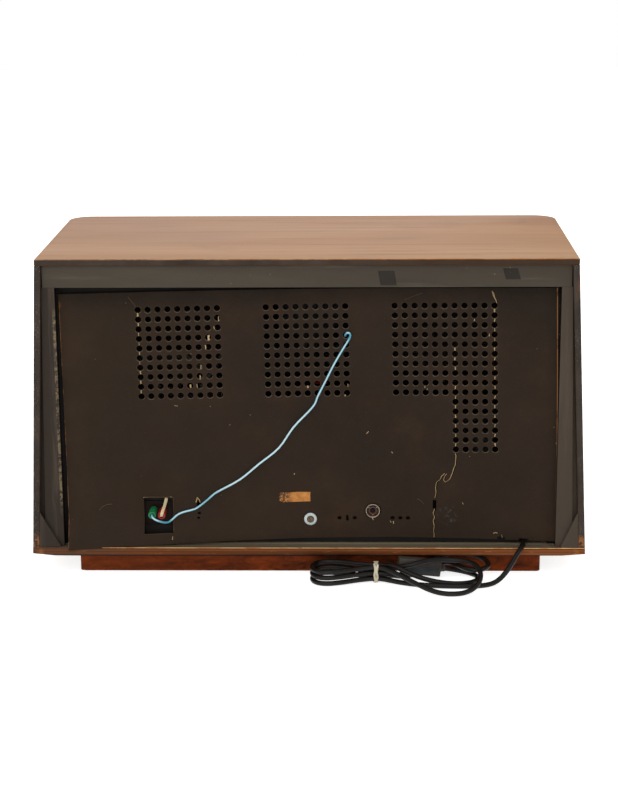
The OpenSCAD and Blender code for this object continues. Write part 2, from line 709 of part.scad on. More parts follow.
// Piano keys on one rod
key_rod_y = front_y + 45;
key_rod_z = 57;
key_rod_r = 2;
key_out = 16;
function key_x(i) = (i - (key_count - 1) / 2) * key_pitch;
module piano_key(i) color("#efe6cf")
    translate([key_x(i) - key_w / 2, 0, 0]) difference() {
        bar([[front_y - key_out + 2, 51], [front_y - key_out, 54], [front_y - key_out, 61],
            [front_y - key_out + 2, 64],
            [front_y - key_out + 7, 65.5], [front_in + 1, 66], [front_in + 1, 63], [key_rod_y - 4, 62],
                [key_rod_y + 4, 60],
            [key_rod_y + 4, 54], [key_rod_y - 4, 53], [front_in + 1, 51]], 0, key_w);
        translate([-eps, key_rod_y, key_rod_z]) rotate([0, 90,
            0]) cylinder(h = key_w + 2 * eps, r = key_rod_r + run_fit);
    }
module phono_key() piano_key(0);
module long_wave_key() piano_key(1);
module medium_wave_key() piano_key(2);
module short_wave_key() piano_key(3);
module fm_key() piano_key(4);

// Key frame: channel on the chassis front that holds the key rod and the switch bank
module key_frame() color("#8f9496") {
    union() {
        bar([[key_rod_y - 22, 38], [chassis_y, 38], [chassis_y, 72], [chassis_y - 1.5, 72],
            [chassis_y - 1.5, 39.5],
            [key_rod_y - 22, 39.5]], -ear_x - 1.5, 2 * ear_x + 3);
        for (x = [-ear_x - 1.5, ear_x])
            bar([[key_rod_y - 8, 39.5], [chassis_y - 1.5, 39.5], [chassis_y - 1.5, 68],
                [key_rod_y - 4, 68], [key_rod_y - 8, 62]], x, 1.5);
        translate([-ear_x, key_rod_y, key_rod_z]) rotate([0, 90, 0]) cylinder(h = 2 * ear_x,
            r = key_rod_r);
    }
}

// Chassis: a bent steel pan that stands on the bottom board
apron_low = floor_z;
side_inset = 4;
valve_places = [[-180, 96], [-125, 96], [-60, 98], [0, 98], [60, 98], [118, 92]];
valve_seat_h = 5;
module chassis() color("#9ba09f") {
    difference() {
        block([-chassis_w / 2, chassis_y, apron_low], [chassis_w / 2, chassis_rear, chassis_top]);
        block([-chassis_w / 2 + chassis_t, chassis_y + chassis_t, apron_low - eps],
            [chassis_w / 2 - chassis_t, chassis_rear - chassis_t, chassis_top - chassis_t]);
        rod_y(knob_x, knob_z, chassis_y - eps, chassis_t + 2 * eps, shaft_d / 2 + run_fit);
        rod_y(screw_at[0], screw_at[1], chassis_rear - chassis_t - eps, chassis_t + 2 * eps,
            screw_shank_r);
        for (p = valve_places) translate([p[0], p[1], chassis_top - 10]) cylinder(h = 20, r = 5);
    }
    for (p = valve_places) translate([p[0], p[1], chassis_top]) difference() {
        cylinder(h = valve_seat_h, r = 11);
        translate([0, 0, -eps]) cylinder(h = valve_seat_h + 2 * eps, r = 5);
    }
    for (p = [rise_guide, turn_guide])
        turned_y(p[0], p[1], drum_y - 3, [[0, 0], [guide_r + 1, 0], [guide_r + 1, 2], [guide_r, 2],
            [guide_r, 4], [guide_r + 1, 4],
            [guide_r + 1, chassis_y - drum_y + 3], [0, chassis_y - drum_y + 3]]);
}

// Glass valve with its domed top and sealed tip
module valve(x, y)
    translate([x, y, chassis_top + valve_seat_h]) rotate_extrude() polygon([[0, 0], [valve_d / 2, 0],
        [valve_d / 2, valve_h - 8],
        [valve_d / 2 - 1.5, valve_h - 4], [valve_d / 2 - 5, valve_h - 1], [2, valve_h],
            [1.2, valve_h + 4], [0, valve_h + 5]]);
module valves() color("#cfd8dc") for (p = valve_places) valve(p[0], p[1]);

// Screening cans of the intermediate-frequency coils
can_w = 24;
can_h = 58;
can_places = [[-30, 60], [30, 60], [90, 56]];
module if_cans() color("#c3c6c6")
    for (p = can_places) translate([p[0], p[1], chassis_top]) difference() {
        union() {
            linear_extrude(can_h) union() {
                square([can_w, can_w - 6], center = true);
                square([can_w - 6, can_w], center = true);
                for (sx = [-1, 1], sy = [-1, 1]) translate([sx, sy] * (can_w / 2 - 3)) circle(3);
            }
        }
        translate([0, 0, can_h - 4]) cylinder(h = 5, r = 3);
    }

// Transformer: laminated core, round-cornered winding and bolts
module transformer(x, y, w, core_t, h, winding_t) translate([x, y, chassis_top]) {
    union() {
        translate([-w / 2, -core_t / 2, 0]) cube([w, core_t, h]);
        translate([-w / 2 + 10, 0, h / 2]) rotate([0, 90, 0]) linear_extrude(w - 20) union() {
            square([h - 20, winding_t], center = true);
            square([h - 12, winding_t - 8], center = true);
            for (sx = [-1, 1], sy = [-1, 1])
                translate([sx * (h / 2 - 10), sy * (winding_t / 2 - 4)]) circle(4);
        }
        for (sx = [-1, 1], z = [6, h - 6]) translate([sx * (w / 2 - 6), -core_t / 2 - 3,
            z]) rotate([-90, 0, 0])
            cylinder(h = core_t + 6, r = 3);
    }
}
module mains_transformer() color("#4d5052") transformer(-160, 30, 78, 34, 70, 62);
module output_transformer() color("#5d5148") transformer(-60, 20, 48, 18, 40, 36);

module filter_capacitor() color("#b7babb")
    translate([-100, 52, chassis_top]) rotate_extrude() polygon([[0, 0], [17.5, 0], [17.5, 62],
        [16.5, 65], [14, 66], [0, 66]]);

// Loudspeaker: basket with four windows and a magnet pot, and the paper cone
speaker_y = front_in + board_t;
gasket_t = 1;
pot_r = 34;
pot_len = 26;
basket_len = speaker_depth - pot_len;
module speaker_frame() color("#5c6163")
    difference() {
        turned_y(0, speaker_z, speaker_y + gasket_t, [[speaker_hole_r, 0], [speaker_d / 2, 0],
            [speaker_d / 2, 2], [speaker_hole_r + 3, 2],
            [pot_r - 4, basket_len], [pot_r, basket_len], [pot_r, basket_len + pot_len - 3],
                [pot_r - 3, basket_len + pot_len],
            [0, basket_len + pot_len], [0, basket_len], [10, basket_len], [10, basket_len - 2],
                [pot_r - 8, basket_len - 2]]);
        for (k = [0 : 3]) rotate_about(0, speaker_z, 90 * k)
            block([14, speaker_y + gasket_t + 8, speaker_z + 14],
                [44, speaker_y + gasket_t + basket_len - 6, speaker_z + 60]);
    }

module speaker_cone() color("#3a3530")
    turned_y(0, speaker_z, speaker_y, [[speaker_hole_r, 0], [speaker_d / 2 - 3, 0],
        [speaker_d / 2 - 3, gasket_t], [speaker_hole_r - 1, gasket_t],
        [speaker_hole_r - 4, 3], [14, basket_len - 8], [8, basket_len - 11], [0, basket_len - 13],
            [0, basket_len - 14],
        [8, basket_len - 12], [13, basket_len - 9], [speaker_hole_r - 5, 1.5]]);

// Sockets on the rear of the chassis
plug_places = [[4.2, 4.3], [-5.3, 3.3]];
module aerial_sockets() color("#3a2d22")
    difference() {
        block([aerial_at[0] - 19, chassis_rear, aerial_at[1] - 13],
            [aerial_at[0] + 19, chassis_rear + 2, aerial_at[1] + 13]);
        for (p = plug_places) rod_y(aerial_at[0] + p[0], aerial_at[1] + p[1],
            chassis_rear + 0.5, 3, 1.6);
    }

module socket_strip(low_x, high_x, places)
    difference() {
        union() {
            block([low_x, chassis_rear, pin_z - 7], [high_x, chassis_rear + 1.5, pin_z + 7]);
            for (x = places) rod_y(x, pin_z, chassis_rear + 1.5, socket_gap - 1.8, 2.4);
        }
        for (x = places) rod_y(x, pin_z, chassis_rear - eps, socket_gap + 2, 1.5);
    }
module pin_sockets() color("#4b3a24") {
    socket_strip(speaker_pins[1] - 8, speaker_pins[0] + 8, speaker_pins);
    socket_strip(phono_pins[2] - 7, phono_pins[0] + 7, phono_pins);
}

// Round socket: plated ring, round insert with a ring of contacts and a centre hole
round_out = 1.5;
module round_socket() color("#5b3b22") {
    len = panel_out + round_out - chassis_rear;
    difference() {
        rod_y(round_at[0], round_at[1], chassis_rear, len, round_d / 2);
        rod_y(round_at[0], round_at[1], chassis_rear + len - 1.2, 2, round_d / 2 - 1.2);
        rod_y(round_at[0], round_at[1], chassis_rear + len - 6, 7, 1.7);
        for (k = [0 : 5]) rotate_about(round_at[0], round_at[1], 60 * k)
            rod_y(round_at[0] + 4, round_at[1], chassis_rear + len - 6, 7, 0.8);
    }
}

// Aerial plugs: a sleeve with a tail ring and a pin in its socket
plug_r = 4;
plug_lens = [22, 20];
function plug_at(i) = aerial_at + plug_places[i];
module aerial_plug(i)
    turned_y(plug_at(i)[0], plug_at(i)[1], chassis_rear + 2, [[0, -1.4], [1.5, -1.4], [1.5, 0], [3, 0],
        [3, 2], [plug_r, 3],
        [plug_r, plug_lens[i] - 4], [plug_r - 0.6, plug_lens[i] - 3.4],
            [plug_r - 0.6, plug_lens[i] - 2.4],
        [plug_r, plug_lens[i] - 1.8], [plug_r - 0.4, plug_lens[i]], [0, plug_lens[i]]]);
module green_plug() color("#2f6f4a") aerial_plug(0);
module red_plug() color("#9c2f26") aerial_plug(1);

// Aerial wire: from the green plug, across and up the panel, through one of its holes
// The points give X, the distance out of the panel's face and the height
plug_end_y = chassis_rear + 2;
hook_at = [-38.7, 252.4];
first_holes_z = 282.2;
hook_hole_z = hook_at[1] + (vent_top + panel_z) - first_holes_z;
wire_shape = [
    [158.4, 22.2, 65.8], [155.2, 23, 64], [151.4, 21, 61.8], [147.8, 17, 59.6], [144, 11.8, 58.2],
    [140.4, 7.4, 59.6], [135.6, 4.2, 63.2], [130.4, 2.6, 65.6], [122, 2, 67.8], [116, 2, 69.8],
    [110.6, 2, 73.6], [103.4, 2, 79.6], [97, 2, 85.4], [90.6, 2, 89.4], [69.8, 2, 101.2],
        [50, 2, 117.8],
    [29.4, 2, 135], [14, 2, 157.2], [-5.6, 2, 178.4], [-11, 2, 190], [-19, 2, 206], [-27.4, 2, 223],
    [-36, 2, 238], [-41.4, 2.4, 247], [-43.8, 4.4, 252.2], [-43.4, 7, 256], [-41, 7.8, 257],
    [-39.4, 5.6, 255], [-38.8, 2.4, 253], [-38.7, -1, 252.4], [-38.7, -6, 252.4]];
function stretched(z) = plug_at(0)[1] + (z - plug_at(0)[1]) * (hook_hole_z - plug_at(0)[1])
    / (hook_at[1] - plug_at(0)[1]);
wire_points = concat(
    [[plug_at(0)[0], plug_end_y + plug_lens[0], plug_at(0)[1]],
    [plug_at(0)[0], plug_end_y + plug_lens[0] + 2.4, plug_at(0)[1]]],
    [for (p = wire_shape) [p[0], panel_out + p[1], stretched(p[2])]]);
module aerial_wire() color("#8cc4d4") swept(wire_points, wire_d, wire_d, 8, [1, 0, 0]);

// Built-in aerial: foil under the top board and a flat lead down to the red plug
lead_w = 5;
lead_t = 1;
foil_t = 0.8;
foil_half = 180;
foil_w = 20;
foil_y = batten_back - 25;
// Points on the panel's outside, then inside it up to the foil
lead_outside = [[150, 18.6, 68.4], [149.2, 17, 71], [148.2, 12, 73.6], [147.2, 5, 76.6], [146.8, 0, 79],
    [146.7, -3, 81.2], [146.6, -5, 84.6], [146.6, -5.1, 90]];
lead_inside = [[143, -11, 0.12], [120, -21, 0.36], [75, -27, 0.66], [34, -30, 0.9]];
foil_tap = [22, foil_y + foil_w / 2, ceil_z - foil_t];
lead_points = concat(
    [[plug_at(1)[0], plug_end_y + plug_lens[1], plug_at(1)[1]],
    [plug_at(1)[0], plug_end_y + plug_lens[1] + 2, plug_at(1)[1]]],
    [for (p = lead_outside) [p[0], panel_out + p[1], p[2]]],
    [for (p = lead_inside) [p[0], panel_out + p[1], 90 + (foil_tap[2] - 90) * p[2]]],
    [foil_tap + [2, 0, -10], foil_tap + [0, 0, -4], foil_tap]);
module dipole_aerial() color("#d9cfae") {
    block([-foil_half, foil_y, ceil_z - foil_t], [foil_half, foil_y + foil_w, ceil_z]);
    swept(lead_points, lead_w, lead_t, 8, [1, 0, 0]);
}

// Mains cord: out under the panel's edge, over the board and down, then along the table.
// Each point gives the way to the side and out from where it leaves, and its share of the drop.
lead_shape = [[0, 0, 1], [0, 6, 1], [0, 12, 1], [0.8, 17, 1.01], [1.8, 22.6, 1.01], [4, 28, 0.97],
    [8.2, 34, 0.83],
    [13.2, 39.4, 0.59], [18.8, 43.4, 0.35], [25.3, 47, 0.14], [31, 49.8, 0.04], [37, 52.4, 0],
    [45, 55.8, 0], [54, 56.6, 0]];

// The tied hank, laid out for this cord diameter and scaled when the cord is thicker or thinner
hank_cord_d = 5.2;
hank_scale = cord_d / hank_cord_d;
hank_at = [-125, rear_y - plinth_in, 0];
function in_hank(p) = hank_at + p * hank_scale;
// Three folds lie on each other past the tie, each with its own level
tie_at = [55, 30.25];
column = 3.25;
fold_start = 4;
fold_reach = 62;
fold_half_w = 35;
levels = [4, 10, 16];
fold_dip = 1.2;
function fold(k) = [for (i = [0 : 12]) let (a = 15 * i)
    [tie_at[0] + fold_start + fold_reach * sin(a),
    tie_at[1] + (fold_half_w * pow(sin(a), 1.4) + column) * cos(a),
    levels[k] - fold_dip * sin(a)]];
// The way in from the cord, and the loops on the other side of the tie
way_in = [
    [-43, 52.6, 2.8], [-34, 53.4, 2.8], [-23, 53.4, 2.8], [-11, 52.6, 2.8], [3, 50.8, 2.8],
    [17, 47.6, 2.8], [30, 42.8, 2.8], [41, 38, 3.4], [49, 34.8, 4]];
under_loop = [
    [47, 26.6, 4], [38, 24, 3.4], [29, 18.8, 2.9], [20, 12.4, 3.6], [11, 6.8, 7], [2, 3.8, 12],
    [-8, 3.2, 17.2], [-20, 3.2, 20.4], [-32, 3.2, 21], [-43, 4.4, 20.4], [-52.6, 8.4, 19],
    [-59.4, 15.8, 17.2], [-61.6, 25, 15.4], [-57, 33.2, 14.4], [-47, 37.2, 14], [-37.4, 33.6, 14],
    [-30.4, 24, 14.4], [-24.4, 15, 14.6], [-17, 8, 13], [-8, 6, 9.2], [1, 6.8, 5.4], [9.4, 11.8, 3.2],
    [17.4, 19, 2.8], [26, 25.8, 2.8], [35.4, 31.4, 5.8], [46, 33.6, 10.2]];
wide_loop = [
    [47, 26.6, 10.4], [38, 27.6, 13.4], [29, 31.8, 15.8], [19, 34, 18.4], [9, 31.4, 21], [-2, 27.4, 22],
    [-15, 24.6, 21.2], [-28, 24.6, 20.6], [-39, 29, 21], [-47.6, 37.6, 20.6], [-52, 48.4, 15.2],
    [-50.2, 58.6, 9.6], [-43.4, 67.4, 4.8], [-33.6, 73.8, 2.8], [-22, 76.6, 2.8], [-10, 74.6, 2.8],
    [1.6, 68.6, 4.2], [13, 60.6, 7.2], [25, 52.2, 10.8], [36.4, 43.6, 13.8], [47, 35.4, 15.8]];
way_out = [
    [47.4, 27.8, 16.2], [40, 32.8, 18.2], [31.4, 38.2, 16.4], [21, 41.2, 12], [8, 43.4, 7.6],
    [-6, 44.6, 4.2], [-21, 45.8, 2.8], [-33, 45.8, 2.8], [-43.4, 42.4, 2.8], [-50.4, 33.2, 2.8],
    [-49.6, 21.4, 2.8], [-41.8, 13.8, 3.2], [-31, 13.4, 5.6], [-21.08, 16.26, 8.18], [-16, 17, 9]];
hank_shape = concat(way_in, fold(0), under_loop, fold(1), wide_loop, fold(2), way_out);
lead_end = in_hank(hank_shape[0]);
lead_from = [cord_x, chassis_rear, cord_exit_z];
lead_to = lead_shape[len(lead_shape) - 1];
lead_run = [for (p = lead_shape) [lead_from[0] + p[0] * (lead_end[0] - lead_from[0]) / lead_to[0],
    lead_from[1] + p[1] * (lead_end[1] - lead_from[1]) / lead_to[1],
    lead_end[2] + p[2] * (lead_from[2] - lead_end[2])]];
cord_marks = concat([for (i = [0 : len(lead_run) - 2]) lead_run[i]], [for (p = hank_shape) in_hank(p)]);
// The marks pull the cord towards them, so that it bends evenly
cord_route = [for (i = [0 : len(cord_marks) - 1]) i == 0 || i > len(cord_marks) - 3 ? cord_marks[i] :
    (cord_marks[i - 1] + 4 * cord_marks[i] + cord_marks[i + 1]) / 6];
join = len(lead_run) - 1;

// The least gap between the hank's own turns, measured from points to straight pieces of the route
function gap_to(q, a, b) = let (t = max(0, min(1,
    (q - a) * (b - a) / ((b - a) * (b - a))))) norm(q - a - t * (b - a));
last_mark = len(cord_route) - 1;
route_len = [for (i = 0, s = 0; i <= last_mark;
    s = s + (i < last_mark ? norm(cord_route[i + 1] - cord_route[i]) : 0), i = i + 1) s];
near_along = 5 * cord_d;
gaps = [for (i = [join : last_mark - 1], part = [0, 0.5], j = [join : last_mark - 1])
    if (abs(route_len[i] - route_len[j]) > near_along + 8)
        gap_to(cord_route[i] * (1 - part) + cord_route[i + 1] * part, cord_route[j],
            cord_route[j + 1])];
hank_gap = min(gaps) - cord_d;
echo(least_gap_in_the_hank = hank_gap);

module mains_cord() color("#1d1c1c") swept(cord_route, cord_d, cord_d, 10, [1, 0, 0], 0, join);
module cord_hank() color("#1d1c1c") swept(cord_route, cord_d, cord_d, 6, [0, 0, 1], join);
module hank_frame() translate(hank_at) scale(hank_scale) children();

// Mains plug: a neck, a body that widens, and two round pins
plug_start = hank_shape[len(hank_shape) - 1];
plug_tilt = 9.05;
plug_yaw = 8.33;
neck_l = 6;
plug_body_l = 42;
pin_r = 2;
pin_marks = [[10, 15], [29, 13]];
module mains_plug() color("#242323") hank_frame() translate(plug_start) rotate([0, -plug_tilt,
    plug_yaw])
    union() {
        rotate([0, 90, 0]) cylinder(h = neck_l + eps, r1 = 3.2, r2 = 4);
        translate([neck_l, -5, -5]) cube([6, 10, 10]);
        translate([neck_l + 5, -6, -6]) cube([10, 12, 12]);
        translate([neck_l + 14, -6.5, -6.5]) cube([plug_body_l - neck_l - 14, 13, 13]);
        for (m = pin_marks) translate([m[0], 3, -2]) rotate([-110, 0, 0]) cylinder(h = m[1], r = pin_r);
    }

// Pale flat tie round the hank's middle
tie_w = 5;
tie_t = 1;
tie_lean = 0.7;
tie_half = 7.6;
tie_high = 19.1;
module cord_tie() color("#cfc4a8") hank_frame() translate([tie_at[0] - tie_w / 2, tie_at[1] + tie_lean, 0.1])
    rotate([90, 0, 90]) linear_extrude(tie_w) difference() {
        tie_outline(tie_t);
        tie_outline(0);
    }
module tie_outline(out) {
    corner = 2;
    for (side = [-1, 1], z = [1 + corner, tie_high - corner])
        translate([side * (tie_half - corner), z]) circle(corner + out);
    translate([-tie_half - out, 1 + corner]) square([2 * (tie_half + out), tie_high - 1 - 2 * corner]);
    translate([corner - tie_half, 1 - out]) square([2 * (tie_half - corner), tie_high - 1 + 2 * out]);
}

top_board();
bottom_board();
left_side_wall();
right_side_wall();
plinth();
rear_top_batten();
rear_side_battens();
rear_gussets();
back_panel();
panel_screw();
front_baffle();
grille_cloth();
front_trim();
control_panel();
dial_glass();
dial_scale();
dial_bracket();
dial_lamps();
dial_pointer();
dial_string();
magic_eye();
volume_knob();
volume_shaft();
bass_ring();
bass_shaft();
tuning_knob();
tuning_shaft();
tuning_flywheel();
treble_ring();
treble_shaft();
control_pots();
phono_key();
long_wave_key();
medium_wave_key();
short_wave_key();
fm_key();
key_frame();
chassis();
valves();
if_cans();
mains_transformer();
output_transformer();
filter_capacitor();
tuning_capacitor();
capacitor_rotor();
dial_drum();
speaker_frame();
speaker_cone();
aerial_sockets();
pin_sockets();
round_socket();
green_plug();
red_plug();
aerial_wire();
dipole_aerial();
mains_cord();
cord_hank();
mains_plug();
cord_tie();
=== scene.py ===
import bpy
import json
import math
import random
from mathutils import Matrix, Vector

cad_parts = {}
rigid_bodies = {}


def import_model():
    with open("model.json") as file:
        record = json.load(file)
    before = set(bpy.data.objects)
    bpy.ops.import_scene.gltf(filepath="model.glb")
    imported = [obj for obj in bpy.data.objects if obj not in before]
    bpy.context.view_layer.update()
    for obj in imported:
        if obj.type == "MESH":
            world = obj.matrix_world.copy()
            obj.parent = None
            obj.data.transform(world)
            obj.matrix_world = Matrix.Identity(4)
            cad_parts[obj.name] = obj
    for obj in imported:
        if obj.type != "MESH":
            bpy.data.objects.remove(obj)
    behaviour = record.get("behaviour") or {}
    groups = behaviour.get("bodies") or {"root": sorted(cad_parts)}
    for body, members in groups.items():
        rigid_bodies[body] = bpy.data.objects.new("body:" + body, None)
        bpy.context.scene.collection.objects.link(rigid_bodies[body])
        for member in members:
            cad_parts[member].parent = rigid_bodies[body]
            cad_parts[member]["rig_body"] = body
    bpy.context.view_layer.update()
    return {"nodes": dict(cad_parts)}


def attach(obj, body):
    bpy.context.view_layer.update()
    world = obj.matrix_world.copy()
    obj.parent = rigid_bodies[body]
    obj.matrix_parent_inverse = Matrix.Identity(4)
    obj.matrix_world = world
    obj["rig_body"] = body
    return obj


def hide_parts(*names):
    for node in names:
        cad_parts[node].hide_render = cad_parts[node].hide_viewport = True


# The looks of a table valve radio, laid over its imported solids. Lengths are in millimetres of the
# shared frame, unless said otherwise, and MM turns them into metres. X runs to the photograph's
# left, Y to the rear and Z up.
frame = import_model()
MM = 0.001
dice = random.Random(55)


def rgb(red, green, blue):
    """A colour as it looks on paper, 0 to 255, turned into the light it reflects."""
    def light(part):
        part = part / 255
        return part / 12.92 if part <= 0.04045 else ((part + 0.055) / 1.055) ** 2.4
    return (light(red), light(green), light(blue), 1)


# Places that several pieces share, in millimetres
PANEL_FACE = 135  # rear face of the flat back panel
SCREW_AT, SOCKET_AT = (-2.5, 58.1), (-66.9, 67.1)  # X and Z of the panel's screw and of the round socket
# half the cabinet's width, the height it is taken at, and what is lost per millimetre above it
HALF_WIDTH, HALF_FROM, LEAN = 285.5, 24, 0.0453

# ---- camera, at the photograph's place and angle
PITCH, YAW, ROLL = 0.2547436, 0.0263686, -0.0072349
CAMERA_AT = (-0.051705, 2.027531, 0.678200)
SENSOR_WIDTH, FOCAL_LENGTH = 36, 86.4
forward = Vector((math.sin(YAW) * math.cos(PITCH), -math.cos(YAW) * math.cos(PITCH), -math.sin(PITCH)))
level = Vector((-math.cos(YAW), -math.sin(YAW), 0))
above = level.cross(forward)
across = level * math.cos(ROLL) + above * math.sin(ROLL)
upright = above * math.cos(ROLL) - level * math.sin(ROLL)
lens_data = bpy.data.cameras.new("rear_view")
lens_data.sensor_width = SENSOR_WIDTH
lens_data.lens = FOCAL_LENGTH
lens_data.clip_end = 50
rear_view = bpy.data.objects.new("rear_view", lens_data)
bpy.context.scene.collection.objects.link(rear_view)
rear_view.matrix_world = Matrix(
    [(across[i], upright[i], -forward[i], CAMERA_AT[i]) for i in range(3)] + [(0, 0, 0, 1)])
bpy.context.scene.camera = rear_view


# ---- finishes
class Finish:
    """One finish, built as a small graph of nodes round a shader."""

    def __init__(self, name, colour=(0.5, 0.5, 0.5, 1), rough=0.6, metal=0.0, gloss=0.5, **sockets):
        self.paint = bpy.data.materials.new(name)
        self.paint.use_nodes = True
        self.nodes = self.paint.node_tree.nodes
        self.links = self.paint.node_tree.links
        self.shader = next(n for n in self.nodes if n.type == "BSDF_PRINCIPLED")
        self.feed(self.shader.inputs["Base Color"], colour)
        self.feed(self.shader.inputs["Roughness"], rough)
        self.feed(self.shader.inputs["Metallic"], metal)
        self.feed(self.shader.inputs["Specular IOR Level"], gloss)
        for socket, value in sockets.items():
            self.feed(self.shader.inputs[socket.replace("_", " ")], value)
        self.place = self.node("ShaderNodeTexCoord").outputs["Object"]
        self.axes = None

    def feed(self, socket, value):
        """Links a node's output to the socket, or sets the socket to a plain value."""
        if isinstance(value, bpy.types.NodeSocket):
            self.links.new(value, socket)
        else:
            socket.default_value = value

    def node(self, kind, inputs=None, **settings):
        made = self.nodes.new(kind)
        for key, value in settings.items():
            setattr(made, key, value)
        for key, value in (inputs or {}).items():
            self.feed(made.inputs[key], value)
        return made

    def mapped(self, scale=(1, 1, 1), turn=(0, 0, 0), move=(0, 0, 0)):
        return self.node("ShaderNodeMapping", {"Vector": self.place, "Scale": scale, "Rotation": turn,
                                               "Location": move}).outputs["Vector"]

    def noise(self, scale, detail=4, rough=0.55, warp=0.0, at=None):
        return self.node("ShaderNodeTexNoise", {"Vector": at or self.place, "Scale": scale, "Detail": detail,
                                                "Roughness": rough, "Distortion": warp}).outputs["Fac"]

    def cells(self, scale):
        return self.node("ShaderNodeTexVoronoi", {"Vector": self.place, "Scale": scale}).outputs["Distance"]

    def threads(self, scale, direction):
        """Evenly spaced waves, slightly uneven, at a scale per millimetre."""
        return self.node("ShaderNodeTexWave", {"Vector": self.mapped(scale=(1000, 1000, 1000)), "Scale": scale,
                                               "Distortion": 0.3, "Detail": 2, "Detail Scale": 1.5},
                         bands_direction=direction).outputs["Fac"]

    def sum(self, how, first, second=0.0, third=0.0):
        return self.node("ShaderNodeMath", {0: first, 1: second, 2: third}, operation=how).outputs[0]

    def xyz(self):
        """The three object coordinates in millimetres."""
        if self.axes is None:
            split = self.node("ShaderNodeSeparateXYZ", {0: self.mapped(scale=(1000, 1000, 1000))})
            self.axes = [split.outputs[i] for i in range(3)]
        return self.axes

    def step(self, value, low, high):
        """0 below low, 1 above high, smooth between; high below low turns it round."""
        return self.node("ShaderNodeMapRange", {"Value": value, "From Min": low, "From Max": high},
                         interpolation_type="SMOOTHSTEP", clamp=True).outputs[0]

    def both(self, *masks):
        """The masks' product."""
        made = masks[0]
        for mask in masks[1:]:
            made = self.sum("MULTIPLY", made, mask)
        return made

    def either(self, *masks):
        """The strongest of the masks."""
        made = masks[0]
        for mask in masks[1:]:
            made = self.sum("MAXIMUM", made, mask)
        return made

    def between(self, value, low, high, soft=0.6):
        return self.both(self.step(value, low - soft, low + soft), self.step(value, high + soft, high - soft))

    def near(self, spot, reach, ragged=0.4, grain=220):
        """A ragged round patch about a spot."""
        wild = self.sum("MULTIPLY_ADD", self.noise(grain, 5, 0.7), 2 * ragged * reach * MM, self.distance(spot))
        return self.step(wild, (1 + ragged) * reach * MM, (0.55 + ragged) * reach * MM)

    def ramp(self, value, *stops):
        made = self.node("ShaderNodeValToRGB", {0: value})
        line = made.color_ramp
        while len(line.elements) < len(stops):
            line.elements.new(0.5)
        for element, (place, colour) in zip(line.elements, stops):
            element.position = place
            element.color = colour
        return made.outputs[0]

    def mix(self, share, first, second, how="MIX"):
        return self.node("ShaderNodeMix", {0: share, 6: first, 7: second}, data_type="RGBA",
                         blend_type=how).outputs[2]

    def tint(self, base, mask, share, colour):
        """Lays a colour over the base where the mask is, at a share of its full strength."""
        return self.mix(self.sum("MULTIPLY", mask, share), base, colour)

    def distance(self, spot):
        """How far a point is from a spot given in millimetres, in metres."""
        return self.node("ShaderNodeVectorMath", {0: self.place, 1: [c * MM for c in spot]},
                         operation="DISTANCE").outputs["Value"]

    def streaks(self, scale, detail, rough, **place):
        """Noise drawn out along the axes by its scale."""
        return self.noise(1.0, detail, rough, 0.0, self.mapped(scale=scale, **place))

    def colour(self, value):
        self.feed(self.shader.inputs["Base Color"], value)

    def rough(self, value):
        self.feed(self.shader.inputs["Roughness"], value)

    def relief(self, height, strength=0.3, depth=0.4):
        made = self.node("ShaderNodeBump", {"Height": height, "Strength": strength, "Distance": depth * MM})
        self.links.new(made.outputs["Normal"], self.shader.inputs["Normal"])


def wood_grain(finish, along, fine=1.0):
    """Streaks along one axis, from broad bands and fine fibres."""
    broad = [14.0 * fine] * 3
    thin = [90.0 * fine] * 3
    broad[along] = 1.1
    thin[along] = 4.0
    bands = finish.noise(1.0, 5, 0.6, 0.4, finish.mapped(scale=broad))
    return bands, finish.streaks(thin, 4, 0.65)


def plain(name, colour, rough=0.5, metal=0.0, mottle=0.12, grain=120, bump=0.1, **sockets):
    """A finish with slight cloudiness, fine grain and uneven gloss."""
    finish = Finish(name, colour, rough, metal, **sockets)
    cloud = finish.noise(grain * 0.25, 4, 0.6)
    darker = tuple(c * (1 - mottle) for c in colour[:3]) + (1,)
    lighter = tuple(min(1, c * (1 + mottle)) for c in colour[:3]) + (1,)
    finish.colour(finish.ramp(cloud, (0.3, darker), (0.7, lighter)))
    finish.rough(finish.sum("MULTIPLY_ADD", finish.noise(grain, 3), 0.2, rough - 0.1))
    if bump:
        finish.relief(finish.noise(grain * 8, 3), bump, 0.1)
    return finish.paint


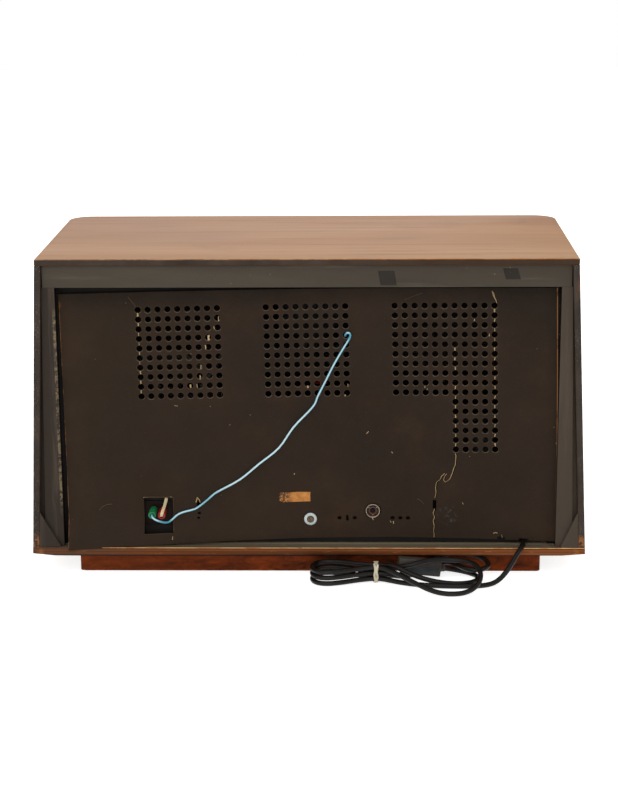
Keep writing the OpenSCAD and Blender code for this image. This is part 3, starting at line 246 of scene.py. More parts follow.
def make_top_walnut():
    """Pale worn walnut, grain along the width, dark stained rear edge with a worn arris."""
    f = Finish("pale_walnut_top", rough=0.5, gloss=0.05)
    x, y, z = f.xyz()
    bands, fibres = wood_grain(f, 0)
    face = f.ramp(bands, (0.3, rgb(176, 135, 101)), (0.5, rgb(187, 145, 111)), (0.72, rgb(196, 156, 123)))
    face = f.tint(face, f.step(f.noise(3.2, 3, 0.5), 0.5, 0.62), 0.4, rgb(172, 136, 116))
    face = f.tint(face, f.step(fibres, 0.52, 0.7), 0.4, rgb(146, 108, 78))
    smoke = f.step(f.noise(9, 5, 0.6), 0.56, 0.72)
    face = f.tint(face, smoke, 0.18, rgb(126, 98, 78))
    marks = f.step(f.streaks((60, 700, 60), 6, 0.7, turn=(0, 0, 0.5)), 0.68, 0.76)
    face = f.tint(face, marks, 0.3, rgb(214, 184, 158))
    pale = f.both(f.step(y, 118, 144), f.step(f.noise(60, 4), 0.3, 0.6))
    face = f.tint(face, pale, 0.5, rgb(196, 154, 112))
    face = f.mix(f.step(x, -240, 240), face, (0.88, 0.84, 0.79, 1), "MULTIPLY")
    face = f.mix(f.step(y, 140, -110), face, (0.86, 0.76, 0.63, 1), "MULTIPLY")
    worn = f.both(f.step(y, 144.6, 146.4), f.step(f.noise(45, 5, 0.7), 0.4, 0.52))
    face = f.tint(face, worn, 0.8, f.mix(f.step(x, 120, -60), rgb(126, 84, 54), rgb(178, 108, 50)))
    edge = f.ramp(f.noise(26, 5), (0.3, rgb(50, 43, 38)), (0.7, rgb(78, 68, 60)))
    edge = f.tint(edge, f.step(x, 40, -160), 0.7, rgb(70, 52, 37))
    rim = f.both(f.step(z, 331.4, 332.6), f.step(f.noise(70, 4), 0.42, 0.56))
    edge = f.tint(edge, rim, 0.8, rgb(138, 84, 42))
    low_rim = f.both(f.step(z, 327.6, 326.8), f.step(f.noise(50, 4), 0.4, 0.55))
    edge = f.tint(edge, low_rim, 0.75, rgb(96, 54, 30))
    on_top = f.step(z, 332.2, 332.75)
    f.colour(f.mix(f.either(on_top, f.step(y, 146.2, 144.6)), edge, face))
    f.rough(f.sum("MULTIPLY_ADD", fibres, 0.25, 0.38))
    f.relief(fibres, 0.12, 0.15)
    return f.paint


def make_shell_walnut():
    """Walnut sides: brown veneer outside, raw wood inside, dark worn rear edges."""
    f = Finish("brown_walnut_shell", rough=0.42, gloss=0.16)
    x, y, z = f.xyz()
    # The veneer's figure runs level and wraps round the front corner
    bands = f.noise(1.0, 5, 0.6, 0.4, f.mapped(scale=(1.6, 1.6, 16)))
    fibres = f.streaks((5, 5, 110), 4, 0.65)
    face = f.ramp(bands, (0.28, rgb(88, 56, 36)), (0.5, rgb(120, 80, 52)), (0.75, rgb(146, 102, 68)))
    face = f.tint(face, f.step(fibres, 0.5, 0.7), 0.5, rgb(74, 46, 30))
    way = f.node("ShaderNodeSeparateXYZ", {0: f.node("ShaderNodeNewGeometry").outputs["Normal"]})
    outward = f.sum("MULTIPLY", way.outputs[0], f.sum("SIGN", x))
    inside = f.step(outward, -0.3, -0.7)
    face = f.mix(inside, face, f.ramp(bands, (0.3, rgb(58, 44, 33)), (0.7, rgb(84, 66, 50))))
    rear = f.step(y, 146.2, 146.8)
    edge = f.ramp(f.noise(30, 5), (0.3, rgb(44, 37, 31)), (0.7, rgb(68, 58, 50)))
    reach = f.sum("MULTIPLY_ADD", z, LEAN, f.sum("ABSOLUTE", x))
    arris = f.both(f.step(reach, 285.3, 286.2), f.step(f.noise(90, 5, 0.7), 0.5, 0.58))
    edge = f.tint(edge, arris, 0.7, rgb(146, 122, 92))
    streak = f.both(f.step(f.streaks((260, 260, 22), 5, 0.7), 0.6, 0.68), f.step(x, -200, -240))
    edge = f.tint(edge, streak, 0.6, rgb(112, 62, 34))
    rubbed = f.either(
        f.near((271, 147, 331), 5),
        f.both(f.either(f.near((-283.5, 147, 34), 12), f.near((283, 147, 33), 13)),
               f.step(f.noise(260, 4), 0.45, 0.55)))
    edge = f.tint(edge, rubbed, 0.85, rgb(156, 98, 50))
    pores = f.both(f.step(f.cells(700), 0.16, 0.1), f.step(f.noise(25, 3), 0.5, 0.6))
    edge = f.mix(pores, edge, rgb(196, 178, 148))
    f.colour(f.mix(rear, face, edge))
    f.rough(f.sum("MULTIPLY_ADD", fibres, 0.25, 0.3))
    f.relief(fibres, 0.15, 0.2)
    return f.paint


def make_batten_wood():
    """Charcoal grey-brown frame wood, streaked along each batten, rubbed and flecked; painted shade makes the side
    battens' inner faces near black.
    """
    f = Finish("charcoal_frame_wood", rough=0.68, gloss=0.14)
    x, y, z = f.xyz()
    level_bands, level_fibres = wood_grain(f, 0, 0.8)
    tall_bands, tall_fibres = wood_grain(f, 2, 0.8)
    top = f.ramp(level_bands, (0.3, rgb(64, 56, 47)), (0.55, rgb(79, 71, 61)), (0.8, rgb(92, 85, 74)))
    top = f.tint(top, f.step(level_fibres, 0.54, 0.68), 0.6, rgb(104, 96, 82))
    side = f.ramp(tall_bands, (0.3, rgb(52, 44, 38)), (0.55, rgb(64, 55, 48)), (0.8, rgb(76, 66, 57)))
    side = f.tint(side, f.step(tall_fibres, 0.54, 0.68), 0.5, rgb(90, 78, 66))
    side = f.tint(side, f.step(x, -230, -262), 0.45, rgb(92, 80, 68))
    colour = f.mix(f.step(z, 303, 304), side, top)
    lean_one = f.sum("MULTIPLY_ADD", z, -0.17, f.sum("ADD", x, 53.2))
    lean_two = f.sum("MULTIPLY_ADD", z, -0.28, f.sum("ADD", x, 88.8))
    patches = f.either(f.both(f.between(lean_one, -89.3, -72.9, 0.4), f.between(z, 305.6, 320.3, 0.4)),
                       f.both(f.between(lean_two, -212.4, -197.3, 0.4), f.between(z, 311.2, 322.6, 0.4)))
    patches = f.both(patches, f.step(y, 142.4, 142.8))
    colour = f.tint(colour, patches, 0.75, rgb(38, 34, 31))
    inner = f.sum("ABSOLUTE", x)
    # Painted shade: the side battens' inner faces, in the gap beside the back panel, are painted near black.
    colour = f.mix(f.both(f.step(inner, 255.5, 255.2), f.step(y, 142.7, 142.3), f.step(z, 304, 303)), colour,
                   rgb(16, 13, 11))
    raw = f.both(f.step(inner, 256.4, 254.9), f.step(z, 286, 268), f.step(z, 60, 90), f.step(x, 200, 230),
                 f.step(y, 142, 142.6), f.step(f.noise(210, 5, 0.75), 0.47, 0.55))
    colour = f.tint(colour, raw, 0.65, rgb(150, 130, 100))
    flecks = f.both(f.step(f.cells(160), 0.1, 0.06), f.step(f.noise(12, 3), 0.6, 0.66))
    colour = f.mix(flecks, colour, rgb(168, 152, 124))
    f.colour(colour)
    f.rough(f.sum("MULTIPLY_ADD", f.noise(60, 4), 0.3, 0.52))
    f.relief(f.either(level_fibres, tall_fibres), 0.25, 0.3)
    return f.paint


def make_hardboard():
    """Very dark brown hardboard: pale lips under the holes, worn edges, scuffs and torn fibres, with painted shade
    along its top under the batten and round the washer and the socket.
    """
    f = Finish("dark_hardboard", rough=0.66, gloss=0.1)
    # Places are read as they were before the panel warped
    f.place = f.node("ShaderNodeAttribute", attribute_name="flat_place").outputs["Vector"]
    x, y, z = f.xyz()
    board = f.mapped(scale=(1000, 1000, 1000), turn=(0, math.radians(-0.6), 0), move=(4.249, 0, -166.965))
    split = f.node("ShaderNodeSeparateXYZ", {0: board})
    u, v = split.outputs[0], split.outputs[2]
    base = f.ramp(f.noise(7, 6, 0.62), (0.32, rgb(40, 31, 23)), (0.5, rgb(47, 36, 27)), (0.7, rgb(54, 41, 30)))
    warm = f.step(f.noise(14, 5, 0.65), 0.52, 0.7)
    base = f.tint(base, warm, 0.35, rgb(64, 45, 29))
    base = f.tint(base, f.step(u, 60, 240), 0.25, rgb(62, 48, 35))
    # Painted shade: darker towards the top, where the panel lies under the top batten.
    base = f.tint(base, f.step(v, 108, 133), 0.5, rgb(20, 14, 9))
    fibre = f.streaks((350, 350, 900), 5, 0.7)
    base = f.tint(base, f.step(fibre, 0.56, 0.72), 0.35, rgb(74, 60, 48))
    # The holes stand on three lattices, ten apart
    phase = f.sum("ADD", f.sum("MULTIPLY", f.sum("LESS_THAN", u, 67), 0.7),
                  f.sum("MULTIPLY", f.sum("LESS_THAN", u, -60), 0.3))
    column = f.sum("PINGPONG", f.sum("SUBTRACT", f.sum("SUBTRACT", u, 2), phase), 5)
    row_place = f.sum("SUBTRACT", f.sum("FLOORED_MODULO", f.sum("ADD", f.sum("SUBTRACT", v, 115.2), 5), 10), 5)
    reach = f.sum("SQRT", f.sum("ADD", f.sum("MULTIPLY", column, column),
                                f.sum("MULTIPLY", row_place, row_place)))
    upper = f.either(f.between(u, 86, 178), f.between(u, -43, 48), f.between(u, -193, -81))
    fields = f.either(f.both(upper, f.between(v, 19, 121)), f.both(f.between(u, -193, -141), f.between(v, -41, 25)))
    ring = f.both(f.step(reach, 4.0, 3.5), fields)
    low_lip = f.both(ring, f.step(row_place, -0.6, -2.8), f.step(f.noise(90, 3), 0.3, 0.6))
    base = f.tint(base, ring, 0.3, rgb(84, 72, 60))
    base = f.tint(base, low_lip, 0.5, rgb(132, 118, 98))
    # Worn edges
    rim = f.either(f.step(f.sum("ABSOLUTE", u), 249.7, 250.3), f.step(f.sum("ABSOLUTE", v), 132.6, 133.2))
    edge_wear = f.both(rim, f.step(f.noise(35, 5, 0.7), 0.42, 0.56), f.step(v, 128, 120),
                       f.step(v, -131.4, -130.4))
    base = f.tint(base, edge_wear, 0.8, rgb(150, 102, 62))
    right_rim = f.both(f.step(u, -249.2, -249.8), f.step(f.noise(35, 5, 0.7), 0.34, 0.44))
    base = f.tint(base, right_rim, 0.8, rgb(156, 106, 66))
    # Painted shadow: a dark ring round the washer and round the socket.
    for (spot_x, spot_z), wide, share in ((SCREW_AT, 6.9, 0.8), (SOCKET_AT, 7.7, 0.6)):
        shade = f.step(f.distance((spot_x, PANEL_FACE, spot_z)), (wide + 1.5) * MM, wide * MM)
        base = f.tint(base, shade, share, rgb(12, 9, 7))
    dust = f.both(f.near((-143, 135, 62), 13, 0.5, 90), f.step(f.noise(160, 4, 0.7), 0.5, 0.62))
    base = f.tint(base, dust, 0.4, rgb(92, 86, 82))
    corner = f.near((252, 135, 287), 6)
    base = f.tint(base, corner, 0.55, rgb(112, 66, 34))
    # Rubs and pale specks
    rub = f.both(f.step(f.streaks((30, 30, 260), 6, 0.7, turn=(0, 0.5, 0)), 0.66, 0.74),
                 f.step(f.noise(6, 2), 0.5, 0.6))
    base = f.tint(base, rub, 0.35, rgb(104, 86, 64))
    specks = f.both(f.step(f.cells(75), 0.06, 0.03), f.step(f.noise(20, 3), 0.58, 0.64))
    base = f.tint(base, specks, 0.6, rgb(150, 124, 86))
    # The cut faces of holes and window are raw board
    base = f.mix(f.step(y, 134.7, 134.3), base, rgb(58, 45, 33))
    base = f.mix(f.step(y, 132.3, 132.1), base, rgb(96, 74, 52))
    f.colour(base)
    f.rough(f.sum("MULTIPLY_ADD", f.noise(40, 4), 0.3, 0.5))
    f.relief(fibre, 0.2, 0.25)
    return f.paint


def make_bottom_wood():
    """Bottom board: dark top, made paler under the back panel's lower edge as painted light against the shade
    there, orange worn rear arris, brown rear face.
    """
    f = Finish("dark_bottom_wood", rough=0.6, gloss=0.14)
    x, y, z = f.xyz()
    bands, fibres = wood_grain(f, 0)
    top = f.ramp(bands, (0.3, rgb(82, 74, 60)), (0.6, rgb(104, 94, 78)), (0.8, rgb(126, 114, 92)))
    top = f.tint(top, f.step(f.noise(50, 5, 0.7), 0.56, 0.66), 0.5, rgb(132, 112, 82))
    # Painted light: the top is made paler under the back panel's lower edge, where it lies in shade.
    top = f.tint(top, f.step(y, 136, 133.5), 0.6, rgb(160, 144, 116))
    top = f.mix(f.both(f.step(y, 144.2, 145.4), f.step(f.noise(30, 4), 0.3, 0.6)), top, rgb(44, 34, 26))
    rear = f.ramp(bands, (0.3, rgb(112, 62, 32)), (0.7, rgb(160, 92, 48)))
    rear = f.tint(rear, f.between(z, 25.7, 26.5, 0.4), 0.55, rgb(52, 30, 20))
    rear = f.tint(rear, f.between(z, 28.7, 29.6, 0.3), 0.7, rgb(44, 26, 17))
    flakes = f.step(f.streaks((60, 60, 320), 5, 0.75), 0.58, 0.66)
    rear = f.tint(rear, flakes, 0.5, rgb(176, 116, 66))
    rear = f.tint(rear, f.step(x, 150, 240), 0.5, rgb(74, 60, 46))
    rear = f.mix(f.step(z, 23.2, 22.6), rear, rgb(30, 22, 17))
    colour = f.mix(f.step(y, 146.7, 147), top, rear)
    arris = f.both(f.step(y, 146.45, 146.7), f.step(z, 29.95, 30.1), f.step(f.noise(28, 5, 0.7), 0.28, 0.42))
    arris = f.both(arris, f.step(x, 262, 150))
    colour = f.mix(arris, colour, f.mix(f.step(f.noise(60, 4), 0.35, 0.55), rgb(222, 144, 70), rgb(255, 208, 136)))
    ends = f.both(f.step(f.sum("ABSOLUTE", x), 272, 280), f.step(f.noise(40, 4), 0.4, 0.55), f.step(y, 140, 144))
    colour = f.tint(colour, ends, 0.8, rgb(176, 112, 60))
    colour = f.mix(f.step(z, 21.4, 21.2), colour, rgb(120, 92, 64))
    f.colour(colour)
    f.rough(f.sum("MULTIPLY_ADD", fibres, 0.25, 0.45))
    f.relief(fibres, 0.2, 0.25)
    return f.paint


def make_mahogany():
    """Red-brown stained plinth, blotchy, with dark runs and rubbed corners, and a painted shadow under the bottom
    board's overhang.
    """
    f = Finish("mottled_mahogany", rough=0.55, gloss=0.08)
    x, y, z = f.xyz()
    bands, fibres = wood_grain(f, 0, 0.7)
    blotch = f.noise(1.0, 6, 0.72, 0.6, f.mapped(scale=(30, 30, 90)))
    colour = f.ramp(blotch, (0.34, rgb(52, 22, 8)), (0.48, rgb(104, 44, 14)), (0.62, rgb(136, 58, 20)),
                    (0.78, rgb(160, 78, 32)))
    # Painted shade: lighter towards the +X end than in the middle, where the overhang's shadow falls.
    colour = f.tint(colour, f.step(x, 40, 200), 0.4, rgb(134, 62, 26))
    colour = f.tint(colour, f.step(fibres, 0.52, 0.66), 0.45, rgb(54, 24, 12))
    # Painted shadow: darker towards the top, under the bottom board's overhang.
    colour = f.tint(colour, f.step(z, 18, 24), 0.5, rgb(34, 16, 9))
    foot = f.both(f.step(z, 2.2, 0.6), f.step(f.noise(60, 4), 0.45, 0.6))
    colour = f.tint(colour, foot, 0.6, rgb(170, 104, 60))
    f.colour(colour)
    f.rough(f.sum("MULTIPLY_ADD", blotch, 0.3, 0.32))
    f.relief(fibres, 0.15, 0.2)
    return f.paint


def make_cord_rubber(name, shade, bloomed, gloss):
    """Dull black rubber with grey bloom and small scuffs."""
    f = Finish(name, rough=0.36, gloss=gloss)
    bloom = f.noise(60, 5, 0.65)
    colour = f.ramp(bloom, (0.35, shade), (0.7, bloomed))
    scuff = f.step(f.noise(420, 4, 0.7), 0.66, 0.74)
    f.colour(f.tint(colour, scuff, 0.3, rgb(92, 90, 84)))
    f.rough(f.sum("MULTIPLY_ADD", bloom, 0.25, 0.26))
    f.relief(f.noise(900, 3), 0.08, 0.1)
    return f.paint


def make_blue_insulation():
    """Sky blue wire insulation, with a painted highlight: paler, almost white, along the side that faces up and to
    the rear towards the lamps, most in its middle stretch.
    """
    f = Finish("sky_blue_wire", rough=0.3)
    x, y, z = f.xyz()
    # Painted highlight: the middle stretch of the wire is made paler.
    middle = f.both(f.step(z, 190, 160), f.step(z, 78, 92))
    colour = f.ramp(f.noise(40, 4), (0.3, rgb(76, 162, 190)), (0.7, rgb(104, 190, 214)))
    colour = f.tint(colour, middle, 0.45, rgb(196, 226, 232))
    # Painted highlight along the side that faces up and to the rear, towards the lamps.
    way = f.node("ShaderNodeVectorMath", {0: f.node("ShaderNodeNewGeometry").outputs["Normal"], 1: (0, 0.92, 0.39)},
                 operation="DOT_PRODUCT").outputs["Value"]
    painted_highlight = f.both(f.step(way, 0.62, 0.93), f.step(f.noise(14, 3), 0.2, 0.5))
    f.colour(f.tint(colour, painted_highlight, f.sum("MULTIPLY_ADD", middle, 0.22, 0.74), rgb(228, 250, 254)))
    f.rough(f.sum("MULTIPLY_ADD", f.noise(90, 3), 0.15, 0.24))
    return f.paint


def make_flat_lead():
    """Flat twin lead: cream where the window lets light in, painted near black above it as the shade inside the
    cabinet.
    """
    f = Finish("cream_flat_lead", rough=0.5)
    x, y, z = f.xyz()
    f.colour(f.mix(f.step(z, 80, 88), f.ramp(f.noise(200, 3), (0.3, rgb(214, 192, 148)), (0.7, rgb(234, 214, 172))),
                   f.ramp(f.noise(90, 4), (0.3, rgb(20, 17, 14)), (0.7, rgb(32, 27, 22)))))
    return f.paint


def make_grille_cloth():
    """Woven cloth: cream and gold threads crossing every 1.3 mm."""
    f = Finish("gold_weave_cloth", rough=0.85, Sheen_Weight=0.25)
    weave = f.sum("MULTIPLY", f.threads(0.24, "X"), f.threads(0.2, "Z"))
    colour = f.ramp(weave, (0.1, rgb(118, 92, 52)), (0.5, rgb(192, 166, 116)), (0.85, rgb(226, 208, 168)))
    slub = f.step(f.streaks((30, 30, 420), 4, 0.6), 0.58, 0.68)
    f.colour(f.tint(colour, slub, 0.45, rgb(150, 112, 58)))
    f.relief(weave, 0.5, 0.35)
    return f.paint


def make_paper_label():
    """Ochre paper, foxed and frayed towards its left end."""
    f = Finish("ochre_paper", rough=0.8)
    x, y, z = f.xyz()
    stain = f.noise(140, 5, 0.7)
    colour = f.ramp(stain, (0.3, rgb(166, 98, 42)), (0.55, rgb(206, 138, 66)), (0.75, rgb(222, 160, 90)))
    frayed = f.both(f.step(x, 15, 22), f.step(f.noise(420, 4, 0.7), 0.42, 0.5))
    f.colour(f.mix(frayed, colour, rgb(92, 58, 34)))
    f.relief(f.noise(500, 4), 0.3, 0.15)
    return f.paint


def make_washer_zinc():
    """Plated washer: pale ring, with painted shade in a dark ring round the screw's head and on its darker rim."""
    f = Finish("pale_zinc_washer", rough=0.45, metal=0.35)
    gap = f.distance((SCREW_AT[0], PANEL_FACE + 1.2, SCREW_AT[1]))
    colour = f.ramp(f.noise(260, 4, 0.6), (0.3, rgb(176, 184, 182)), (0.7, rgb(206, 211, 207)))
    # Painted shade round the screw's head and along the rim.
    colour = f.tint(colour, f.step(gap, 4.3 * MM, 3.5 * MM), 0.85, rgb(58, 52, 46))
    colour = f.tint(colour, f.step(gap, 6.1 * MM, 6.7 * MM), 0.6, rgb(96, 98, 94))
    f.colour(colour)
    f.relief(f.noise(900, 3), 0.08, 0.1)
    return f.paint


def make_glass(name, tint, through=0.9, rough=0.04, gloss=0.5, solid=1.0):
    """Glass; a thin pane lets straight light through by how solid it is."""
    f = Finish(name, tint, rough, gloss=gloss, Transmission_Weight=through, IOR=1.45, Alpha=solid)
    f.rough(f.sum("MULTIPLY_ADD", f.noise(80, 3), 0.06, rough))
    return f.paint


top_walnut = make_top_walnut()
shell_walnut = make_shell_walnut()
batten_wood = make_batten_wood()
hardboard = make_hardboard()
bottom_wood = make_bottom_wood()
mahogany = make_mahogany()
black_rubber = make_cord_rubber("black_rubber_cord", rgb(13, 8, 5), rgb(26, 20, 16), 0.24)
plug_rubber = make_cord_rubber("charcoal_plug", rgb(60, 56, 51), rgb(76, 71, 65), 0.16)
plug_plate = make_cord_rubber("plug_side_plate", rgb(42, 45, 46), rgb(58, 61, 62), 0.25)
cloth_weave = make_grille_cloth()
ochre_paper = make_paper_label()
blue_pvc = make_blue_insulation()
cream_lead = make_flat_lead()
green_sleeve = plain("green_sleeve", rgb(22, 112, 66), 0.4, mottle=0.3, grain=200)
red_sleeve = plain("red_sleeve", rgb(158, 22, 26), 0.36, mottle=0.3, grain=200)
dark_bore = plain("dark_bore", rgb(14, 12, 11), 0.8)
nickel = plain("dull_nickel", rgb(150, 138, 118), 0.35, 0.85, mottle=0.2, grain=300)
brown_insert = plain("brown_insert", rgb(72, 40, 24), 0.5, mottle=0.25, grain=300)
zinc = make_washer_zinc()
rusty_steel = plain("brown_steel_screw", rgb(112, 96, 78), 0.5, 0.8, mottle=0.3, grain=400)
pale_band = plain("pale_rubber_band", rgb(216, 204, 176), 0.6, mottle=0.12, grain=500)
tan_fibre = plain("torn_tan_fibre", rgb(186, 158, 116), 0.85, mottle=0.3, grain=500, gloss=0.1)
faint_scratch = plain("faint_scratch", rgb(104, 84, 60), 0.8, mottle=0.3, grain=300, gloss=0.1)
dark_crack = plain("dark_crack", rgb(8, 6, 5), 0.95, gloss=0.0)
brass = plain("lacquered_brass", rgb(196, 156, 82), 0.28, 1.0, mottle=0.12, grain=160)
brown_plastic = plain("brown_moulded", rgb(72, 42, 26), 0.22, mottle=0.2, grain=60, bump=0.02)
cream_plastic = plain("cream_moulded", rgb(226, 212, 176), 0.25, mottle=0.06, grain=60, bump=0.02)
steel = plain("plated_steel", rgb(158, 160, 158), 0.35, 0.9, mottle=0.12, grain=180)
# Painted shade: the chassis steel, the aluminium, the laminate and the baffle's raw board are made much darker than
# the real materials, standing for the shade inside the cabinet.
dull_steel = plain("dull_chassis_steel", rgb(40, 38, 35), 0.7, 0.2, mottle=0.25, grain=60, gloss=0.15)
dark_core = plain("varnished_core", rgb(32, 27, 23), 0.6, 0.2, mottle=0.25, grain=220)
aluminium = plain("dust_and_shade_aluminium", rgb(62, 60, 56), 0.6, 0.4, mottle=0.08, grain=200)
zinc_cast = plain("cast_zinc", rgb(84, 84, 80), 0.45, 0.8, mottle=0.12, grain=200)
drum_plastic = plain("drum_moulding", rgb(96, 84, 66), 0.4, mottle=0.08)
speaker_grey = plain("speaker_grey", rgb(38, 38, 38), 0.6, 0.2, mottle=0.12)
cone_paper = plain("cone_pulp", rgb(26, 23, 20), 0.9, mottle=0.2, grain=400, bump=0.3)
laminate = plain("brown_laminate", rgb(28, 17, 12), 0.6, mottle=0.25, grain=240, gloss=0.1)
raw_board_painted_shade = plain("raw_board_painted_shade", rgb(50, 36, 25), 0.8, mottle=0.2, grain=200, bump=0.25)
black_felt = plain("black_felt", rgb(17, 15, 14), 0.95, mottle=0.3, grain=500, bump=0.4)
card = plain("scale_card", rgb(232, 222, 190), 0.6, mottle=0.04)
ink = plain("scale_ink", rgb(64, 38, 24), 0.6, mottle=0.05)
pointer_red = plain("pointer_red", rgb(196, 52, 34), 0.4, mottle=0.05)
thread = plain("waxed_thread", rgb(214, 200, 150), 0.7, mottle=0.15, grain=900, bump=0.3)
eye_green = plain("green_eye_glass", rgb(76, 176, 118), 0.12, mottle=0.25, grain=300, bump=0)
clear_glass = make_glass("clear_dial_glass", (0.86, 0.93, 0.89, 1), 0.0, 0.05, 1.0, 0.16)
valve_glass = make_glass("valve_glass", (0.1, 0.095, 0.09, 1), 0.5, 0.3, 0.2)
lamp_glass = make_glass("lamp_glass", (0.98, 0.92, 0.74, 1), 0.7, 0.08)
panel_brown = plain("brown_lacquer", rgb(70, 42, 26), 0.2, mottle=0.3, grain=30, bump=0.02)


# ---- working on pieces
def put_down():
    if bpy.context.mode != "OBJECT":
        bpy.ops.object.mode_set(mode="OBJECT")
    bpy.ops.object.select_all(action="DESELECT")


def take(piece):
    put_down()
    piece.select_set(True)
    bpy.context.view_layer.objects.active = piece


def opened(piece):
    """Takes a piece into edit mode with everything selected."""
    take(piece)
    bpy.ops.object.mode_set(mode="EDIT")
    bpy.ops.mesh.select_all(action="SELECT")


def closed():
    """Leaves edit mode with the normals outward and gives the piece."""
    bpy.ops.mesh.select_all(action="SELECT")
    bpy.ops.mesh.normals_make_consistent(inside=False)
    bpy.ops.object.mode_set(mode="OBJECT")
    return bpy.context.active_object


def linked(name, data):
    """A new object with its data, in the scene."""
    piece = bpy.data.objects.new(name, data)
    bpy.context.scene.collection.objects.link(piece)
    return piece


def settle(piece, name, paint, stands_for=(), body="cabinet"):
    """Bakes the place into the mesh, names the piece, finishes it and lets it ride."""
    take(piece)
    bpy.ops.object.transform_apply(location=True, rotation=True, scale=True)
    piece.name = name
    piece.data.name = name
    if paint is not None:
        piece.data.materials.clear()
        piece.data.materials.append(paint)
    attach(piece, body)
    if stands_for:
        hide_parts(*stands_for)
    return piece


def worked(piece, kind, **settings):
    take(piece)
    modifier = piece.modifiers.new("work", kind)
    for key, value in settings.items():
        setattr(modifier, key, value)
    bpy.ops.object.modifier_apply(modifier=modifier.name)
    return piece


def smoothed(piece, degrees=35):
    take(piece)
    bpy.ops.object.shade_smooth_by_angle(angle=math.radians(degrees))
    return piece


def block(low, high, ease=0.4, steps=2):
    """A block between two corners with eased edges."""
    put_down()
    low, high = Vector(low) * MM, Vector(high) * MM
    bpy.ops.mesh.primitive_cube_add(size=1, location=(low + high) / 2)
    piece = bpy.context.active_object
    piece.scale = high - low
    bpy.ops.object.transform_apply(location=True, rotation=True, scale=True)
    opened(piece)
    bpy.ops.mesh.bevel(offset=ease * MM, segments=steps, affect="EDGES")
    bpy.ops.object.mode_set(mode="OBJECT")
    return piece


def traced(points):
    """One line of edges through the points, left in edit mode."""
    put_down()
    bpy.ops.mesh.primitive_plane_add(size=0.001, location=Vector(points[0]) * MM)
    bpy.ops.object.mode_set(mode="EDIT")
    bpy.ops.mesh.merge(type="CENTER")
    for before, after in zip(points, points[1:]):
        bpy.ops.mesh.extrude_vertices_move(
            TRANSFORM_OT_translate={"value": (Vector(after) - Vector(before)) * MM})


def turned(x, z, y, profile, steps):
    """A profile of radius and depth, spun round an axis along Y."""
    traced([(x + r, y + d, z) for r, d in profile])
    bpy.ops.mesh.select_all(action="SELECT")
    bpy.ops.mesh.spin(steps=steps, angle=2 * math.pi, center=(x * MM, y * MM, z * MM), axis=(0, 1, 0))
    bpy.ops.mesh.select_all(action="SELECT")
    bpy.ops.mesh.remove_doubles(threshold=1e-6)
    return closed()


def plate(outline, thick):
    """A flat outline given as points, filled and drawn out by a vector."""
    traced(outline)
    bpy.ops.mesh.select_all(action="SELECT")
    bpy.ops.mesh.edge_face_add()
    bpy.ops.mesh.extrude_region_move(TRANSFORM_OT_translate={"value": Vector(thick) * MM})
    return closed()


def joined(pieces):
    take(pieces[0])
    for piece in pieces[1:]:
        piece.select_set(True)
    bpy.ops.object.join()
    return bpy.context.active_object


def dressed(node, name, paint, ease, steps=2, open_frame=False):
    """A merged copy of a node's own mesh, with its edges eased, that stands for the node."""
    source = frame["nodes"][node]
    copy = linked(name, source.data.copy())
    opened(copy)
    bpy.ops.mesh.remove_doubles(threshold=2e-6)
    if not open_frame:  # each flat face becomes one, which would close a thin frame's opening
        bpy.ops.mesh.dissolve_limited(angle_limit=math.radians(0.4))
    bpy.ops.object.mode_set(mode="OBJECT")
    if ease:
        worked(copy, "BEVEL", width=ease * MM, segments=steps, limit_method="ANGLE",
               angle_limit=math.radians(40), use_clamp_overlap=True, miter_outer="MITER_ARC")
    return settle(smoothed(copy), name, paint, (node,), body=source["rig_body"])


def strip(points, widths, lift):
    """A thin ragged sliver along the points, lying on the back panel."""
    sides = []
    for i, (x, y, z) in enumerate(points):
        ahead = Vector(points[min(i + 1, len(points) - 1)]) - Vector(points[max(i - 1, 0)])
        side = Vector((ahead.z, 0, -ahead.x)).normalized() * widths[i] / 2
        sides.append((Vector((x, y, z)) + side, Vector((x, y, z)) - side))
    outline = [a for a, b in sides] + [b for a, b in reversed(sides)]
    return plate([tuple(p) for p in outline], (0, lift, 0))


def cut_across(piece, places, axis):
    """Cuts the mesh along planes across an axis, so that it can bend there."""
    opened(piece)
    for place in places:
        bpy.ops.mesh.select_all(action="SELECT")
        spot = [0, 0, 0]
        normal = [0, 0, 0]
        spot[axis], normal[axis] = place * MM, 1
        bpy.ops.mesh.bisect(plane_co=spot, plane_no=normal)
    bpy.ops.object.mode_set(mode="OBJECT")
    return piece


